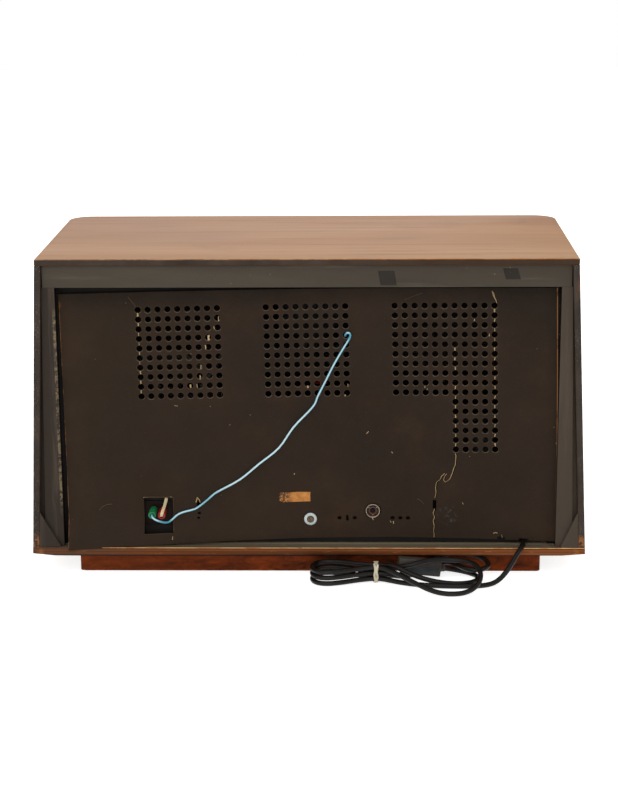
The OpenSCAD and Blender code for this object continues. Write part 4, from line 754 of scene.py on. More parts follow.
# ---- mains cord, hank, tie and plug, on the route of the solids
lead_shape = [[0, 0, 1], [0, 6, 1], [0, 12, 1], [0.8, 17, 1.01], [1.8, 22.6, 1.01], [4, 28, 0.97], [8.2, 34, 0.83],
    [13.2, 39.4, 0.59], [18.8, 43.4, 0.35], [25.3, 47, 0.14], [31, 49.8, 0.04], [37, 52.4, 0], [45, 55.8, 0],
    [54, 56.6, 0]]
way_in = [[-43, 52.6, 2.8], [-34, 53.4, 2.8], [-23, 53.4, 2.8], [-11, 52.6, 2.8], [3, 50.8, 2.8],
    [17, 47.6, 2.8], [30, 42.8, 2.8], [41, 38, 3.4], [49, 34.8, 4]]
under_loop = [[47, 26.6, 4], [38, 24, 3.4], [29, 18.8, 2.9], [20, 12.4, 3.6], [11, 6.8, 7], [2, 3.8, 12],
    [-8, 3.2, 17.2], [-20, 3.2, 20.4], [-32, 3.2, 21], [-43, 4.4, 20.4], [-52.6, 8.4, 19], [-59.4, 15.8, 17.2],
    [-61.6, 25, 15.4], [-57, 33.2, 14.4], [-47, 37.2, 14], [-37.4, 33.6, 14], [-30.4, 24, 14.4],
    [-24.4, 15, 14.6], [-17, 8, 13], [-8, 6, 9.2], [1, 6.8, 5.4], [9.4, 11.8, 3.2], [17.4, 19, 2.8],
    [26, 25.8, 2.8], [35.4, 31.4, 5.8], [46, 33.6, 10.2]]
wide_loop = [[47, 26.6, 10.4], [38, 27.6, 13.4], [29, 31.8, 15.8], [19, 34, 18.4], [9, 31.4, 21], [-2, 27.4, 22],
    [-15, 24.6, 21.2], [-28, 24.6, 20.6], [-39, 29, 21], [-47.6, 37.6, 20.6], [-52, 48.4, 15.2],
    [-50.2, 58.6, 9.6], [-43.4, 67.4, 4.8], [-33.6, 73.8, 2.8], [-22, 76.6, 2.8], [-10, 74.6, 2.8],
    [1.6, 68.6, 4.2], [13, 60.6, 7.2], [25, 52.2, 10.8], [36.4, 43.6, 13.8], [47, 35.4, 15.8]]
way_out = [[47.4, 27.8, 16.2], [40, 32.8, 18.2], [31.4, 38.2, 16.4], [21, 41.2, 12], [8, 43.4, 7.6],
    [-6, 44.6, 4.2], [-21, 45.8, 2.8], [-33, 45.8, 2.8], [-43.4, 42.4, 2.8], [-50.4, 33.2, 2.8],
    [-49.6, 21.4, 2.8], [-41.8, 13.8, 3.2], [-31, 13.4, 5.6], [-21.08, 16.26, 8.18], [-16, 17, 9]]
HANK_AT = Vector((-125, 132, 0))
CORD_FROM = Vector((-222, 128, 33.4))
CORD_D, WIRE_D = 5.2, 2.2
LEAD_END = lead_shape[-1]


def fold(level):
    """One of the three folds that lie on each other past the tie."""
    points = []
    for i in range(13):
        swing = math.sin(math.radians(15 * i))
        points.append([55 + 4 + 62 * swing,
                       30.25 + (35 * max(swing, 0) ** 1.4 + 3.25) * math.cos(math.radians(15 * i)),
                       level - 1.2 * swing])
    return points


def cord_route():
    """The cord's centre line: the lead out of the panel, then the hank up to the plug."""
    hank = way_in + fold(4) + under_loop + fold(10) + wide_loop + fold(16) + way_out
    hank = [HANK_AT + Vector(p) for p in hank]
    run = hank[0] - CORD_FROM
    lead = [CORD_FROM + Vector((p[0] * run.x / LEAD_END[0], p[1] * run.y / LEAD_END[1], 0)) for p in lead_shape]
    for point, shape in zip(lead, lead_shape):
        point.z = hank[0].z + shape[2] * (CORD_FROM.z - hank[0].z)
    marks = lead[:-1] + hank
    return [marks[i] if i == 0 or i > len(marks) - 3 else (marks[i - 1] + 4 * marks[i] + marks[i + 1]) / 6
            for i in range(len(marks))]


def eased_line(points):
    """The points with three more between each two, on a smooth line through them all."""
    line, parts = [], 4
    for i in range(len(points) - 1):
        before, after = points[max(i - 1, 0)], points[min(i + 2, len(points) - 1)]
        a, b = points[i], points[i + 1]
        for k in range(parts):
            t = k / parts
            line.append(0.5 * (2 * a + (b - before) * t + (2 * before - 5 * a + 4 * b - after) * t * t
                               + (3 * a - before - 3 * b + after) * t ** 3))
    return line + [points[-1]]


def round_curve(name, line, thick, resolution, ring=False):
    """A curve of one spline through the points, thick millimetres across."""
    data = bpy.data.curves.new(name, "CURVE")
    data.dimensions = "3D"
    data.bevel_depth = thick / 2 * MM
    data.bevel_resolution = resolution
    data.use_fill_caps = not ring
    spline = data.splines.new("POLY")
    spline.points.add(len(line) - 1)
    spline.use_cyclic_u = ring
    for place, point in zip(spline.points, line):
        place.co = (*(point * MM), 1)
    return linked(name, data)


def tube(name, line, thick, paint, *stands_for):
    """A cord, which stays a curve."""
    piece = round_curve(name, line, thick, 5)
    piece.data.materials.append(paint)
    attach(piece, "cabinet")
    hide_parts(*stands_for)
    return piece


mains_line = eased_line(cord_route())
mains_lead = tube("mains_lead", mains_line, CORD_D, black_rubber, "mains_cord", "cord_hank")


# How far the warped back panel stands off its flat shape: right, down and out, in millimetres
# seen from the camera, at columns of X and rows of Z
WARP_X = (250, 170, 90, 0, -90, -170, -250)
WARP_Z = (300, 210, 125, 62, 34)
WARP_RIGHT = ((-1.0, 0.1, 0.1, 0.1, 0.1, 0.2, 0.3), (-1.0, 0.5, 0.7, 0.9, 1.1, 1.3, 1.6),
              (-1.2, 0.7, 1.0, 1.4, 1.8, 2.2, 2.4), (-1.3, 1.2, 0.6, 0, 0, 1.1, 1.8),
              (-1.5, 0.5, 0.3, 0, 0, 1.0, 1.6))
WARP_DOWN = ((2.4, 1.3, 0.3, -0.1, 0.1, 0.9, 2.0), (2.4, 1.2, 0.2, -0.3, -0.2, 0.6, 1.5),
             (3.0, 2.0, 1.2, 0.6, 0.6, 1.2, 2.1), (4.4, 1.6, 0.6, 0, 0, 0.8, 2.2),
             (6.6, 2.5, -1.2, -3.9, -4.1, -1.7, 2.2))
WARP_OUT = ((0,) * 7, (0,) * 7, (0,) * 7, (4.0, 0.4, 0, 0, 0, 0, 0), (15.4, 8.5, 1.6, 0, 0, 0, 0))


def read_off(table, x, z):
    """The table's value at a place, smooth between its columns and rows."""
    def share(marks, value):
        value = max(min(value, marks[0]), marks[-1])
        i = min(next(k for k in range(1, len(marks)) if value >= marks[k]), len(marks) - 1)
        t = (marks[i - 1] - value) / (marks[i - 1] - marks[i])
        return i, t
    i, s = share(WARP_X, x)
    k, t = share(WARP_Z, z)
    upper = table[k - 1][i - 1] * (1 - s) + table[k - 1][i] * s
    lower = table[k][i - 1] * (1 - s) + table[k][i] * s
    return upper * (1 - t) + lower * t


def warp(piece):
    """Warps a piece that lies on the back panel together with it."""
    for vertex in piece.data.vertices:
        x, z = vertex.co.x / MM, vertex.co.z / MM
        out = read_off(WARP_OUT, x, z)
        vertex.co.x -= read_off(WARP_RIGHT, x, z) * MM
        vertex.co.z -= (read_off(WARP_DOWN, x, z) - 0.252 * out) * 1.03 * MM
        vertex.co.y += out * MM
    return piece


def make_plug():
    """Moulded plug: ribbed neck, flat body tapered at its far end, a sunk side plate, two round pins."""
    neck = turned(0, 0, 0, [(0, 0.05), (3.1, 0.05), (3.3, 1.4), (3.0, 1.7), (3.6, 2.8), (3.2, 3.1), (4, 4),
                            (4.3, 6), (0, 6)], 28)
    body = cut_across(block((-5.2, 4.5, -8.2), (5.2, 49.5, 8.2), 1.3, 4), (10, 20, 30, 37, 41, 45, 47), 1)
    for vertex in body.data.vertices:
        along = vertex.co.y / MM
        narrow = max(0, along - 37) / 12.5
        if vertex.co.z < 0:
            vertex.co.z *= 1 - 0.42 * narrow
        vertex.co.x *= 1 - 0.18 * narrow
    grip = block((-5.5, 8, 2.6), (5.5, 9.2, 8.0), 0.4, 2)
    whole = smoothed(joined([neck, body, grip]), 40)
    side_plate = smoothed(block((-5.75, 6.4, -6.2), (-4.6, 37, 1.4), 0.45, 3), 40)
    pins = [turned(0, 0, 0, [(0, 0), (2, 0), (2, 8.3), (1.3, 9.3), (0, 9.5)], 20) for _ in range(2)]
    tilt = Matrix.Rotation(math.radians(8.33), 4, "Z") @ Matrix.Rotation(math.radians(-8), 4, "Y")
    seat = Matrix.Translation((HANK_AT + Vector(way_out[-1])) * MM) @ tilt
    to_x = Matrix.Rotation(math.radians(-90), 4, "Z")
    for piece, paint in ((whole, plug_rubber), (side_plate, plug_plate)):
        piece.data.transform(seat @ to_x)
        piece.data.materials.clear()
        piece.data.materials.append(paint)
    for pin, along in zip(pins, (20, 38)):
        place = Matrix.Translation(Vector((along, -3, 0)) * MM) @ Matrix.Rotation(math.radians(180), 4, "X")
        pin.data.transform(seat @ place)
        smoothed(pin, 40)
    prongs = settle(joined(pins), "plug_pins", nickel)
    settle(whole, "moulded_plug", None, ("mains_plug",))
    settle(side_plate, "plug_side_plate", None, ())
    return [whole, side_plate, prongs]


def make_tie():
    """Pale rubber band: two flat strands side by side, wound once round the hank."""
    strands = []
    for shift, swell in ((-1.1, 0.0), (1.1, 2.0)):
        outline = []
        for i in range(48):
            a = 2 * math.pi * i / 48
            c, s = math.cos(a), math.sin(a)
            r = 1 / ((abs(c) / 8.1) ** 5 + (abs(s) / 9.5) ** 5) ** 0.2
            outline.append(Vector((0.2 * math.sin(5 * a + swell), 162.95 + r * c, 10.15 + r * s)))
        take(round_curve("band", outline, 1.16, 3, ring=True))
        bpy.ops.object.convert(target="MESH")
        strand = bpy.context.active_object
        for vertex in strand.data.vertices:
            vertex.co.x = (-70 + shift) * MM + vertex.co.x * 2.1
        strands.append(strand)
    return settle(smoothed(joined(strands), 60), "pale_band", pale_band, ("cord_tie",))


on_cord = make_plug() + [make_tie()]

# ---- blue aerial wire and the flat lead of the built-in aerial
wire_shape = [[158.4, 22.2, 65.8], [155.2, 23, 64], [151.4, 21, 61.8], [147.8, 17, 59.6], [144, 11.8, 58.2],
    [140.4, 7.4, 59.6], [135.6, 4.2, 63.2], [130.4, 2.6, 65.6], [122, 2, 67.8], [116, 2, 69.8], [110.6, 2, 73.6],
    [103.4, 2, 79.6], [97, 2, 85.4], [90.6, 2, 89.4], [69.8, 2, 101.2], [50, 2, 117.8], [29.4, 2, 135],
    [14, 2, 157.2], [-5.6, 2, 178.4], [-11, 2, 190], [-19, 2, 206], [-27.4, 2, 223], [-36, 2, 238],
    [-41.4, 2.4, 247], [-43.8, 4.4, 252.2], [-43.4, 7, 256], [-41, 7.8, 257], [-39.4, 5.6, 255],
    [-38.8, 2.4, 253], [-38.7, -1, 252.4], [-38.7, -6, 252.4]]
wire_line = eased_line([Vector((160, 152, 67.2)), Vector((160, 154.4, 67.2))]
                       + [Vector((x, PANEL_FACE + out, z)) for x, out, z in wire_shape])
aerial = tube("blue_aerial_wire", wire_line, WIRE_D, blue_pvc, "aerial_wire")


def make_sleeve(x, z, reach, paint, name, node):
    """Aerial plug: a soft sleeve with an open mouth and a worn collar."""
    sleeve = turned(x, z, 130, [(1.5, -1.4), (1.5, 0), (3, 0), (3, 2), (3.9, 2.6), (4, 4), (4, reach - 4.2),
                                (3.55, reach - 3.6), (3.55, reach - 2.8), (3.95, reach - 2.2), (4, reach - 0.6),
                                (3.7, reach), (2.6, reach), (2.3, reach - 0.5), (2.2, reach - 2.4),
                                (0, reach - 2.4), (0, -1.4), (1.5, -1.4)], 40)
    settle(smoothed(sleeve, 45), name, paint, (node,))


make_sleeve(160, 67.2, 22, green_sleeve, "green_aerial_plug", "green_plug")
make_sleeve(150.5, 66.2, 20, red_sleeve, "red_aerial_plug", "red_plug")


# ---- cabinet woodwork
def make_top_board():
    """Top board: an outline with rounded front corners, splayed ends and a soft rear arris."""
    half, front, rear, low, high, corner = 271.78, -125, 147, 326.5, 333, 25
    outline = [(-half, rear, low), (half, rear, low)]
    for side in (1, -1):
        arc = [(side * (half - corner + corner * math.cos(math.radians(a))),
                front + corner - corner * math.sin(math.radians(a)), low) for a in range(0, 91, 6)]
        outline += arc if side > 0 else arc[::-1]
    board = plate(outline, (0, 0, high - low))
    for vertex in board.data.vertices:
        if vertex.co.z > 0.330:
            vertex.co.x *= (half - 0.28) / half
    worked(board, "BEVEL", width=0.0009, segments=3, limit_method="ANGLE", angle_limit=math.radians(50))
    settle(smoothed(board, 40), "walnut_top_board", top_walnut, ("top_board",))


make_top_board()
dressed("left_side_wall", "left_wall", shell_walnut, 0.5)
dressed("right_side_wall", "right_wall", shell_walnut, 0.5)
dressed("rear_top_batten", "top_batten", batten_wood, 0.5)
# The bottom board's lower edge sags a little between its ends
base_board = dressed("bottom_board", "base_board", bottom_wood, 0.6)
cut_across(base_board, (272, 262, 245, 0, -245, -262, -272), 0)
for vertex in base_board.data.vertices:
    if vertex.co.z < 25.2 * MM:
        share = min(1, max(0, (285 - abs(vertex.co.x / MM)) / 24))
        vertex.co.z -= (2.3 if vertex.co.x > 0 else 1.7) * share * MM


def shift_edge(piece, low, high, shift):
    """Moves the vertices between two places of X, all in millimetres."""
    for vertex in piece.data.vertices:
        if low * MM < vertex.co.x < high * MM:
            vertex.co.x += shift * MM


# The plinth, the left batten and its gusset were fitted a little to the side
shift_edge(dressed("plinth", "plinth_frame", mahogany, 0.6), 235.5, 300, 1.9)
shift_edge(dressed("rear_side_battens", "side_battens", batten_wood, 0.5), 254.5, 255.6, -2)
gussets = dressed("rear_gussets", "corner_gussets", batten_wood, 0.5)
inmost = min(v.co.x for v in gussets.data.vertices if v.co.x > 0) / MM
shift_edge(gussets, 0, inmost + 4, -4.5)
back_board = dressed("back_panel", "perforated_back", hardboard, 0.18, steps=1)


def keep_flat_places(piece):
    """Keeps each vertex's place, which the finish goes by, before the piece is warped."""
    kept = piece.data.attributes.new("flat_place", "FLOAT_VECTOR", "POINT")
    for vertex in piece.data.vertices:
        kept.data[vertex.index].vector = vertex.co


cut_across(back_board, (240, 225, 205, 190, 170, 150, 130, 110, 90, 45, 0, -45, -90, -130, -170, -210), 0)
cut_across(back_board, (300, 255, 210, 167, 125, 105, 90, 76, 62, 55, 48, 41), 2)
keep_flat_places(back_board)
warp(back_board)


# ---- marks on the back panel: torn fibres, the crack, the label
def add_fibres():
    """Torn fibres between the holes, the crack below the right field, and the torn mouths of openings."""
    tan, faint, dark = [], [], []
    turn = math.radians(0.6)

    def at_hole(u, row):
        """The place of a hole of the lattice, by its column and its row from the top."""
        v = 115.2 - 10 * row
        return -2.5 + u * math.cos(turn) + v * math.sin(turn), 167 - u * math.sin(turn) + v * math.cos(turn)

    def tear(points, wide, pieces, lift=0.3):
        widths = [wide * dice.uniform(0.6, 1.25) for _ in points]
        pieces.append(strip([(x, PANEL_FACE + 0.03, z) for x, z in points], widths, lift))

    def under(u, row, wide, low=3.4, high=6.5, aside=0.0):
        """A torn bridge between a hole and the next one down."""
        x, z = at_hole(u, row)
        line = [(x + aside + dice.uniform(-0.35, 0.35), z - low - (high - low) * i / 4) for i in range(5)]
        tear(line, wide, tan)

    for u, first, widths in (
            (172, 0, (1.5, 0.9, 0.8, 0.5, 0.8, 0.4, 1.3, 1.3, 0.8)),
            (-187, 0, (1.4, 0.9, 0.7, 0.5, 1.0, 0.9, 0.6, 0.6, 0.9, 0.7, 0.9, 0.8, 0.8, 0.8, 1.5)),
            (-147, 4, (1.1, 1.2, 1.2)), (-147, 8, (0.8, 0.6, 0.8, 1.0, 0.8, 0.9, 0.8))):
        for row, wide in enumerate(widths, first):
            under(u, row, wide)
    for u, row, aside, low, high, wide in (
            (92, 1, -1.4, -1.5, 3.4, 0.8), (92, 2, 3.4, -1.2, 1.4, 1.0), (102, 3, -0.6, -2.2, 3.0, 2.2),
            (102, 4, 2.9, -2.0, 2.2, 1.1), (112, 6, -1.7, -1.4, 2.6, 1.2), (112, 7, -0.4, -0.6, 3.6, 1.0),
            (112, 8, 2.8, -1.6, 1.8, 1.0), (122, 8, -0.6, -1.2, 2.0, 1.5), (2.7, 8, -0.4, 2.0, 4.4, 1.4),
            (-37.3, 9, 2.0, 1.6, 3.4, 1.0), (-37.3, 8, -1.0, 0.6, 3.4, 0.8), (-167, 1, 0.2, 3.6, 5.8, 0.8),
            (-117, 8, 0.6, 3.2, 5.2, 0.6), (-117, 9, -1.4, -2.6, -4.2, 0.5), (-177, 3, -4.6, -1.0, 1.6, 0.8)):
        under(u, row, wide, low, high, aside)
    # The torn tongue above the right field, and three scratches
    tip_x, tip_z = at_hole(-187, 0)
    tear([(tip_x + 2.4, tip_z + 15), (tip_x + 1.2, tip_z + 10), (tip_x - 1.6, tip_z + 5),
          (tip_x - 2.2, tip_z + 2.6)], 0.6, tan)
    tear([(tip_x + 1.2, tip_z + 13.6), (tip_x, tip_z + 9), (tip_x - 1.6, tip_z + 5.4)], 0.5, tan)
    tear([(180, 294.4), (177.6, 291.2), (175, 287.4), (172.6, 284)], 0.3, faint)
    tear([(-98.5, 289.4), (-107, 293), (-116.4, 296.6)], 0.25, faint)
    tear([(216, 70.6), (213, 74.2), (208, 76.6), (203, 76.8)], 0.3, faint)
    # The crack: torn steps down to a slot, and on to the lower edge; a near-black sliver beside the tan one is
    # painted shade in the crack.
    for line in (
            ((-149.6, 129.6), (-150.2, 124), (-149.8, 117), (-148.2, 113), (-147, 108), (-145.4, 103.4),
             (-142.2, 99.8)),
            ((-142.2, 99.8), (-140.4, 98.8), (-138.6, 100.6), (-139.6, 104.6), (-141.2, 107.6)),
            ((-139.2, 108.2), (-136.2, 105), (-134.6, 101), (-131.4, 98.6), (-130.6, 93), (-131.2, 88),
             (-130.2, 81.6)),
            ((-130, 69.6), (-129, 65.4), (-130.6, 61), (-129.2, 56), (-130.4, 49), (-130, 42), (-130.2, 35.4))):
        wild = []
        for (x0, z0), (x1, z1) in zip(line, line[1:]):
            wild += [(x0, z0), ((x0 + x1) / 2 + dice.uniform(-0.5, 0.5), (z0 + z1) / 2 + dice.uniform(-0.5, 0.5))]
        wild.append(line[-1])
        tear([(x + 0.4, z) for x, z in wild], 0.55, tan)
        tear([(x - 0.25, z) for x, z in wild], 0.6, dark, 0.35)
    # Near-black slivers stand for the slots through the board at the crack and beside the aerial window: painted
    # shade.
    tear([(-129.7, 79), (-129.7, 74), (-129.9, 70.2)], 3.8, dark)
    tear([(114.3, 78), (114, 74), (113.4, 70.6)], 3.4, dark)
    tear([(113.6, 66.4), (113.4, 64.2)], 2.6, dark)
    tear([(115.4, 82.6), (113.4, 80), (112.4, 76.8)], 0.9, tan, 0.4)
    tear([(115.2, 82.4), (116, 79.6), (116.8, 77)], 0.9, tan, 0.4)
    # Torn lips of the window, the socket's hole and the notch, and small chips
    for line, wide in (([(171.4, 83), (169, 83.3), (167, 83)], 0.4), ([(143.4, 83.2), (141.4, 83)], 0.4),
                       ([(-66.6, 58.8), (-67.4, 56)], 0.9), ([(-190.4, 42.4), (-192.6, 43.4), (-194.6, 42.8)], 0.7),
                       ([(-199, 41.4), (-199.6, 37.6)], 0.4), ([(141, 40.2), (141.4, 36.6)], 0.9),
                       ([(-88.2, 54.6), (-88.4, 51.4)], 0.7), ([(-84.6, 55), (-86, 53)], 0.4),
                       ([(-158, 76.6), (-159, 74.8)], 0.6), ([(-251.2, 142), (-255.4, 137)], 0.35),
                       ([(-59, 150), (-61, 152.4)], 0.8), ([(-84.4, 131), (-85.4, 129.4)], 0.6),
                       ([(133, 180), (136.6, 180.6)], 0.35), ([(14.6, 108), (15, 106.4)], 0.7)):
        tear(line, wide, tan)
    for line in ([(171, 83.1), (164, 83.3), (156, 83.1), (148, 83.2), (141, 83.1)],
                 [(140.3, 82.6), (140.1, 72), (140.3, 60), (140, 46)],
                 [(170.6, 43.6), (162, 43.4), (150, 43.6), (141, 43.4)],
                 [(-118.8, 74.6), (-116, 78.2), (-112, 80.4)]):
        tear(line, 0.35, faint)
    warp(settle(joined(faint), "faint_scratches", faint_scratch))
    warp(settle(joined(tan), "torn_fibres", tan_fibre))
    warp(settle(joined(dark), "panel_crack", dark_crack))


def add_label():
    """Small blank paper label, its left end frayed."""
    outline = ((-2.4, 77.2), (-2.6, 80), (-2.2, 83), (-2.7, 87.2), (10, 87.4), (20, 86.6), (27.6, 86.6), (29.8, 85),
               (28.4, 83.6), (30.4, 81.6), (29, 80), (29.8, 78), (26, 76.2), (14, 76.6))
    label = plate([(x, PANEL_FACE + 0.05, z) for x, z in outline], (0, 0.25, 0))
    settle(label, "paper_label", ochre_paper)


add_fibres()
add_label()


# ---- small parts on the rear
def add_screw():
    """The panel's slotted screw and its wide washer."""
    x, z = SCREW_AT
    washer = turned(x, z, PANEL_FACE, [(2, 0.02), (6.75, 0.02), (6.75, 0.7), (6.2, 1.25), (5, 1.4), (2, 1.3),
                                       (2, 0.02)], 48)
    settle(smoothed(washer, 40), "wide_washer", zinc)
    shank = turned(x, z, 122.1, [(0, 0), (2, 0), (2, 14.3), (3.2, 14.3), (3.2, 15), (2.7, 15.8), (1.6, 16.3),
                                 (0, 16.5)], 32)
    slot = block((x - 0.6, 137.0, z - 4), (x + 0.6, 139.4, z + 4), 0.05, 1)
    centre = Vector((x, 0, z)) * MM
    slot.data.transform(Matrix.Translation(centre) @ Matrix.Rotation(math.radians(25), 4, "Y")
                        @ Matrix.Translation(-centre))
    worked(shank, "BOOLEAN", object=slot, operation="DIFFERENCE", solver="EXACT")
    take(slot)
    bpy.ops.object.delete()
    settle(smoothed(shank, 30), "slotted_screw", rusty_steel, ("panel_screw",))


def add_round_socket():
    """The plated round socket: its ring, moulded insert, bore and three contacts."""
    x, z = SOCKET_AT
    ring = turned(x, z, 128, [(6.3, 0), (7.5, 0), (7.5, 7.9), (7.2, 8.4), (6.6, 8.45), (6.3, 8.1), (6.3, 0)], 56)
    settle(smoothed(ring, 40), "socket_ring", nickel, ("round_socket",))
    insert = turned(x, z, 128.1, [(0, 0), (6.25, 0), (6.25, 6.9), (5.5, 7.2), (5.1, 5.4), (4.5, 5.2), (4.2, 6.6),
                                  (3.1, 6.9), (2.7, 6.4), (2.5, 3), (0, 3)], 48)
    settle(smoothed(insert, 30), "socket_insert", brown_insert)
    # The bore is near black: painted shade at the bottom of the socket's hole.
    bore = turned(x, z, 131.15, [(0, 0), (2.4, 0), (2.4, 0.5), (1, 0.6), (0.9, 3.6), (0.5, 4), (0, 4)], 24)
    settle(smoothed(bore, 40), "socket_bore", dark_bore)
    contacts = [turned(x + 4.9 * c, z + 4.9 * k, 133.2, [(0, 0), (0.5, 0), (0.5, 1.2), (0, 1.4)], 10)
                for c, k in ((0.8, 0.6), (-0.8, 0.6), (0, -1))]
    settle(smoothed(joined(contacts), 40), "socket_contacts", nickel)


add_screw()
add_round_socket()


# ---- front
def add_grille_cloth():
    """Cloth stretched over its card frame, slightly bowed between the beads."""
    half, foot, middle, tall = 0.2453, 0.1505, 0.23825, 0.1754
    put_down()
    bpy.ops.mesh.primitive_plane_add(size=1, location=(0, -0.1212, middle), rotation=(math.radians(90), 0, 0))
    cloth = bpy.context.active_object
    cloth.scale = (2 * half, tall, 1)
    bpy.ops.object.transform_apply(location=True, rotation=True, scale=True)
    opened(cloth)
    bpy.ops.mesh.subdivide(number_cuts=40)
    bpy.ops.object.mode_set(mode="OBJECT")
    for vertex in cloth.data.vertices:
        x, z = vertex.co.x / half, (vertex.co.z - middle) / (tall / 2)
        vertex.co.x *= 1 - (vertex.co.z - foot) * LEAN / half
        vertex.co.y = -0.1211 + 0.0004 * (1 - x ** 4) * (1 - z ** 4)
    worked(cloth, "SOLIDIFY", thickness=0.0004, offset=0)
    settle(smoothed(cloth, 40), "speaker_cloth", cloth_weave)


def add_grille_card():
    """The card frame, four strips that follow the cabinet's leaning sides."""
    low, high, wide, inset, behind = 150.3, 326.3, 9, 33.7, -118.6

    def corner(side, z, inset):
        return side * (HALF_WIDTH - (z - HALF_FROM) * 0.04531 - inset), behind, z

    pieces = []
    for foot, head in ((low, low + wide), (high - wide, high)):
        pieces.append(plate([corner(-1, foot, inset), corner(1, foot, inset), corner(1, head, inset),
                             corner(-1, head, inset)], (0, -1.8, 0)))
    foot, head = low + wide, high - wide
    for side in (-1, 1):
        pieces.append(plate([corner(side, foot, inset), corner(side, foot, inset + wide),
                             corner(side, head, inset + wide), corner(side, head, inset)], (0, -1.8, 0)))
    settle(joined(pieces), "grille_card", card, ("grille_cloth",))


add_grille_cloth()
add_grille_card()
dressed("front_baffle", "baffle_board", raw_board_painted_shade, 0.3)
dressed("front_trim", "brass_beads", brass, 0.9, steps=3, open_frame=True)
for node, name, paint, ease in (
        ("control_panel", "control_board", panel_brown, 0.4), ("dial_glass", "dial_pane", clear_glass, 0.3),
        ("dial_scale", "dial_card", card, 0.1), ("dial_bracket", "dial_plate", dull_steel, 0.2),
        ("dial_lamps", "dial_bulbs", lamp_glass, 0), ("dial_pointer", "dial_needle", pointer_red, 0.15),
        ("dial_string", "drive_string", thread, 0), ("magic_eye", "tuning_eye", eye_green, 0.3),
        ("volume_knob", "volume_cap", brown_plastic, 0.35), ("tuning_knob", "tuning_cap", brown_plastic, 0.35),
        ("bass_ring", "bass_dial_ring", cream_plastic, 0.35),
        ("treble_ring", "treble_dial_ring", cream_plastic, 0.35),
        ("volume_shaft", "volume_spindle", steel, 0.4), ("tuning_shaft", "tuning_spindle", steel, 0.4),
        ("bass_shaft", "bass_tube", brass, 0.2), ("treble_shaft", "treble_tube", brass, 0.2),
        ("tuning_flywheel", "flywheel", zinc_cast, 0.5), ("control_pots", "potentiometers", steel, 0.3),
        ("key_frame", "key_bank_frame", dull_steel, 0.2)):
    dressed(node, name, paint, ease)
for key in ("phono", "long_wave", "medium_wave", "short_wave", "fm"):
    dressed(key + "_key", key + "_piano_key", cream_plastic, 0.9, steps=3)


def add_knob_faces():
    """A brass disc set in each knob's face, with a fine turned ring, riding with its knob."""
    for x, body in ((-205, "volume"), (205, "tuning")):
        disc = turned(x, 60, -146.6, [(0, 0.25), (7.6, 0.2), (8.3, 0), (8.9, 0.3), (9.4, 0), (10, 0.5), (10, 1.4),
                                      (0, 1.4)], 56)
        settle(smoothed(disc, 30), body + "_knob_disc", brass, body=body)


def add_light_seal():
    """Black felt strip between the baffle and the dial plate, which keeps the cabinet dark behind the dial."""
    section = ((-110.4, 158), (-110.4, 142.4), (-107.6, 142.4), (-107.2, 150.5), (-109, 152.5), (-109.2, 158))
    seal = plate([(-238, y, z) for y, z in section], (476, 0, 0))
    settle(smoothed(seal, 40), "dial_light_seal", black_felt)


def add_dial_print():
    """Four scales of plain numbers and ticks printed on the dial card."""
    left, wide, behind, front, ticks = -104, 187, -100.65, -100.52, 42
    pieces = []
    for numbers, height in (("88 90 92 94 96 98 100", 133.5), ("16 18 20 25 30 40 50", 124),
                            ("550 650 800 1000 1250 1600", 114.5), ("150 175 200 250 300 350", 105)):
        numbers = numbers.split()
        for i, number in enumerate(numbers):
            put_down()
            x = left + wide * (i + 0.5) / len(numbers)
            bpy.ops.object.text_add(location=(x * MM, -0.10055, height * MM), rotation=(math.radians(90), 0, 0))
            text = bpy.context.active_object
            text.data.body = number
            text.data.size = 0.0052
            text.data.align_x = "CENTER"
            text.data.extrude = 0.00005
            bpy.ops.object.convert(target="MESH")
            pieces.append(bpy.context.active_object)
        foot = height - 1.3
        pieces.append(block((left - 2, behind, foot - 0.6), (left + wide + 2, front, foot), 0.02, 1))
        for i in range(ticks + 1):
            x = left + wide * i / ticks
            tall = 1.6 if i % 3 == 0 else 0.9
            pieces.append(block((x - 0.15, behind, foot), (x + 0.15, front, foot + tall), 0.02, 1))
    settle(joined(pieces), "dial_print", ink)


add_knob_faces()
add_light_seal()
add_dial_print()

# ---- inside
for node, name, paint, ease in (
        ("chassis", "chassis_pan", dull_steel, 0.3), ("valves", "glass_valves", valve_glass, 0),
        ("if_cans", "coil_cans", aluminium, 0.5), ("mains_transformer", "mains_core", dark_core, 0.4),
        ("output_transformer", "output_core", dark_core, 0.3), ("filter_capacitor", "filter_can", aluminium, 0.4),
        ("tuning_capacitor", "vane_frame", aluminium, 0.1), ("capacitor_rotor", "vane_rotor", aluminium, 0.1),
        ("dial_drum", "string_drum", drum_plastic, 0.3), ("speaker_frame", "speaker_basket", speaker_grey, 0.4),
        ("speaker_cone", "paper_cone", cone_paper, 0), ("aerial_sockets", "aerial_socket_plate", laminate, 0.2),
        ("pin_sockets", "pin_socket_strips", laminate, 0.2), ("dipole_aerial", "foil_and_lead", cream_lead, 0)):
    dressed(node, name, paint, ease)


def narrow_lead():
    """The flat lead's stretch in the window is narrower than its solid; its middle is given as Z and X."""
    middle = ((66, 150.4), (68.4, 150), (71, 149.2), (73.6, 148.2), (76.6, 147.2), (79, 146.8), (86, 146.6))
    for vertex in bpy.data.objects["foil_and_lead"].data.vertices:
        z = vertex.co.z / MM
        if vertex.co.y > 0.128 and 66 < z < 86:
            i = next(k for k in range(1, len(middle)) if z <= middle[k][0])
            t = (z - middle[i - 1][0]) / (middle[i][0] - middle[i - 1][0])
            x = middle[i - 1][1] + t * (middle[i][1] - middle[i - 1][1])
            vertex.co.x = (x + (vertex.co.x / MM - x) * 0.62) * MM


narrow_lead()


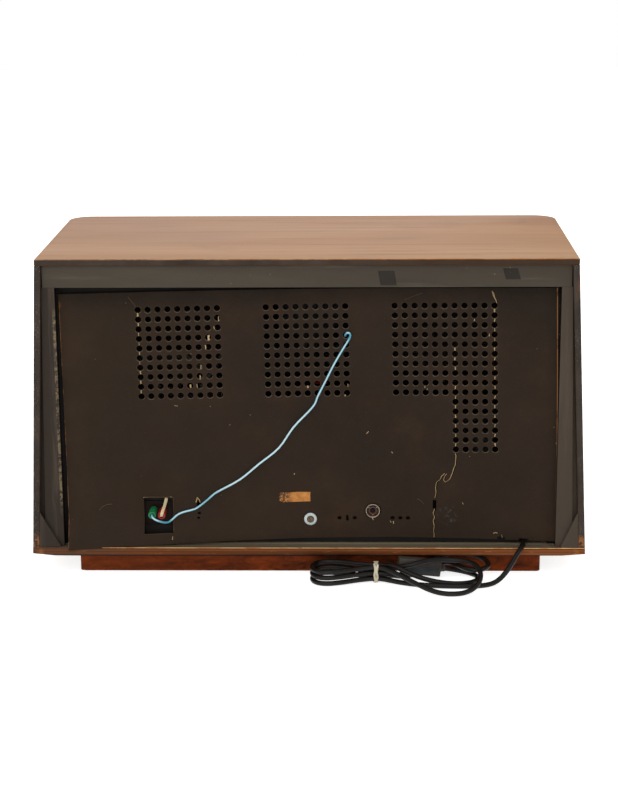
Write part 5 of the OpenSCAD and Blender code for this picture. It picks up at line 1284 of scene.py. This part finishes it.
# ---- floor, backdrop and lights
def seen_by(tree, *rays):
    """1 for the kinds of ray named, 0 for all others."""
    path = tree.nodes.new("ShaderNodeLightPath")
    found = path.outputs[rays[0]]
    for ray in rays[1:]:
        most = tree.nodes.new("ShaderNodeMath")
        most.operation = "MAXIMUM"
        tree.links.new(found, most.inputs[0])
        tree.links.new(path.outputs[ray], most.inputs[1])
        found = most.outputs[0]
    return found


def make_floor():
    """White floor that keeps the shadow."""
    put_down()
    bpy.ops.mesh.primitive_plane_add(size=12, location=(0, 0, -0.0002))
    floor = bpy.context.active_object
    floor.name = "studio_floor"
    paper = bpy.data.materials.new("white_paper")
    paper.use_nodes = True
    tree = paper.node_tree
    shader = next(n for n in tree.nodes if n.type == "BSDF_PRINCIPLED")
    share = tree.nodes.new("ShaderNodeMath")
    share.operation = "MULTIPLY"
    share.inputs[1].default_value = 0.78
    tree.links.new(seen_by(tree, "Is Camera Ray", "Is Glossy Ray", "Is Transmission Ray"), share.inputs[0])
    tree.links.new(share.outputs[0], shader.inputs["Emission Strength"])
    for socket, value in (("Base Color", (0.82, 0.82, 0.82, 1)), ("Roughness", 0.9),
                          ("Emission Color", (1, 1, 1, 1))):
        shader.inputs[socket].default_value = value
    floor.data.materials.append(paper)


def make_backdrop():
    """A white world behind the object, which lights it more softly than it shows."""
    world = bpy.context.scene.world or bpy.data.worlds.new("studio")
    bpy.context.scene.world = world
    world.use_nodes = True
    tree = world.node_tree
    tree.nodes.clear()
    blend = tree.nodes.new("ShaderNodeMixShader")
    tree.links.new(seen_by(tree, "Is Camera Ray", "Is Transmission Ray"), blend.inputs[0])
    for slot, strength in ((1, 0.62), (2, 1.0)):
        white = tree.nodes.new("ShaderNodeBackground")
        white.inputs["Strength"].default_value = strength
        white.inputs["Color"].default_value = (1, 1, 1, 1)
        tree.links.new(white.outputs[0], blend.inputs[slot])
    out = tree.nodes.new("ShaderNodeOutputWorld")
    tree.links.new(blend.outputs[0], out.inputs[0])


def make_lights():
    """Four soft lamps that face the object: name, place, size in metres, power in watts."""
    for name, place, size, power in (
            ("rear_soft", (0.5, 3.0, 1.9), 2.4, 20), ("rear_low", (-0.1, 3.2, 0.62), 1.2, 7),
            ("over_head", (0, 0.3, 2.8), 2.4, 12), ("front_soft", (0.4, -2.9, 1.7), 2.2, 26)):
        lamp = bpy.data.lights.new(name, "AREA")
        lamp.size = size
        lamp.energy = power
        holder = linked(name, lamp)
        holder.location = place
        holder.rotation_euler = (Vector((0, 0, 0.15)) - Vector(place)).to_track_quat("-Z", "Y").to_euler()


make_floor()
make_backdrop()
make_lights()
bpy.context.scene.view_settings.view_transform = "Standard"
put_down()
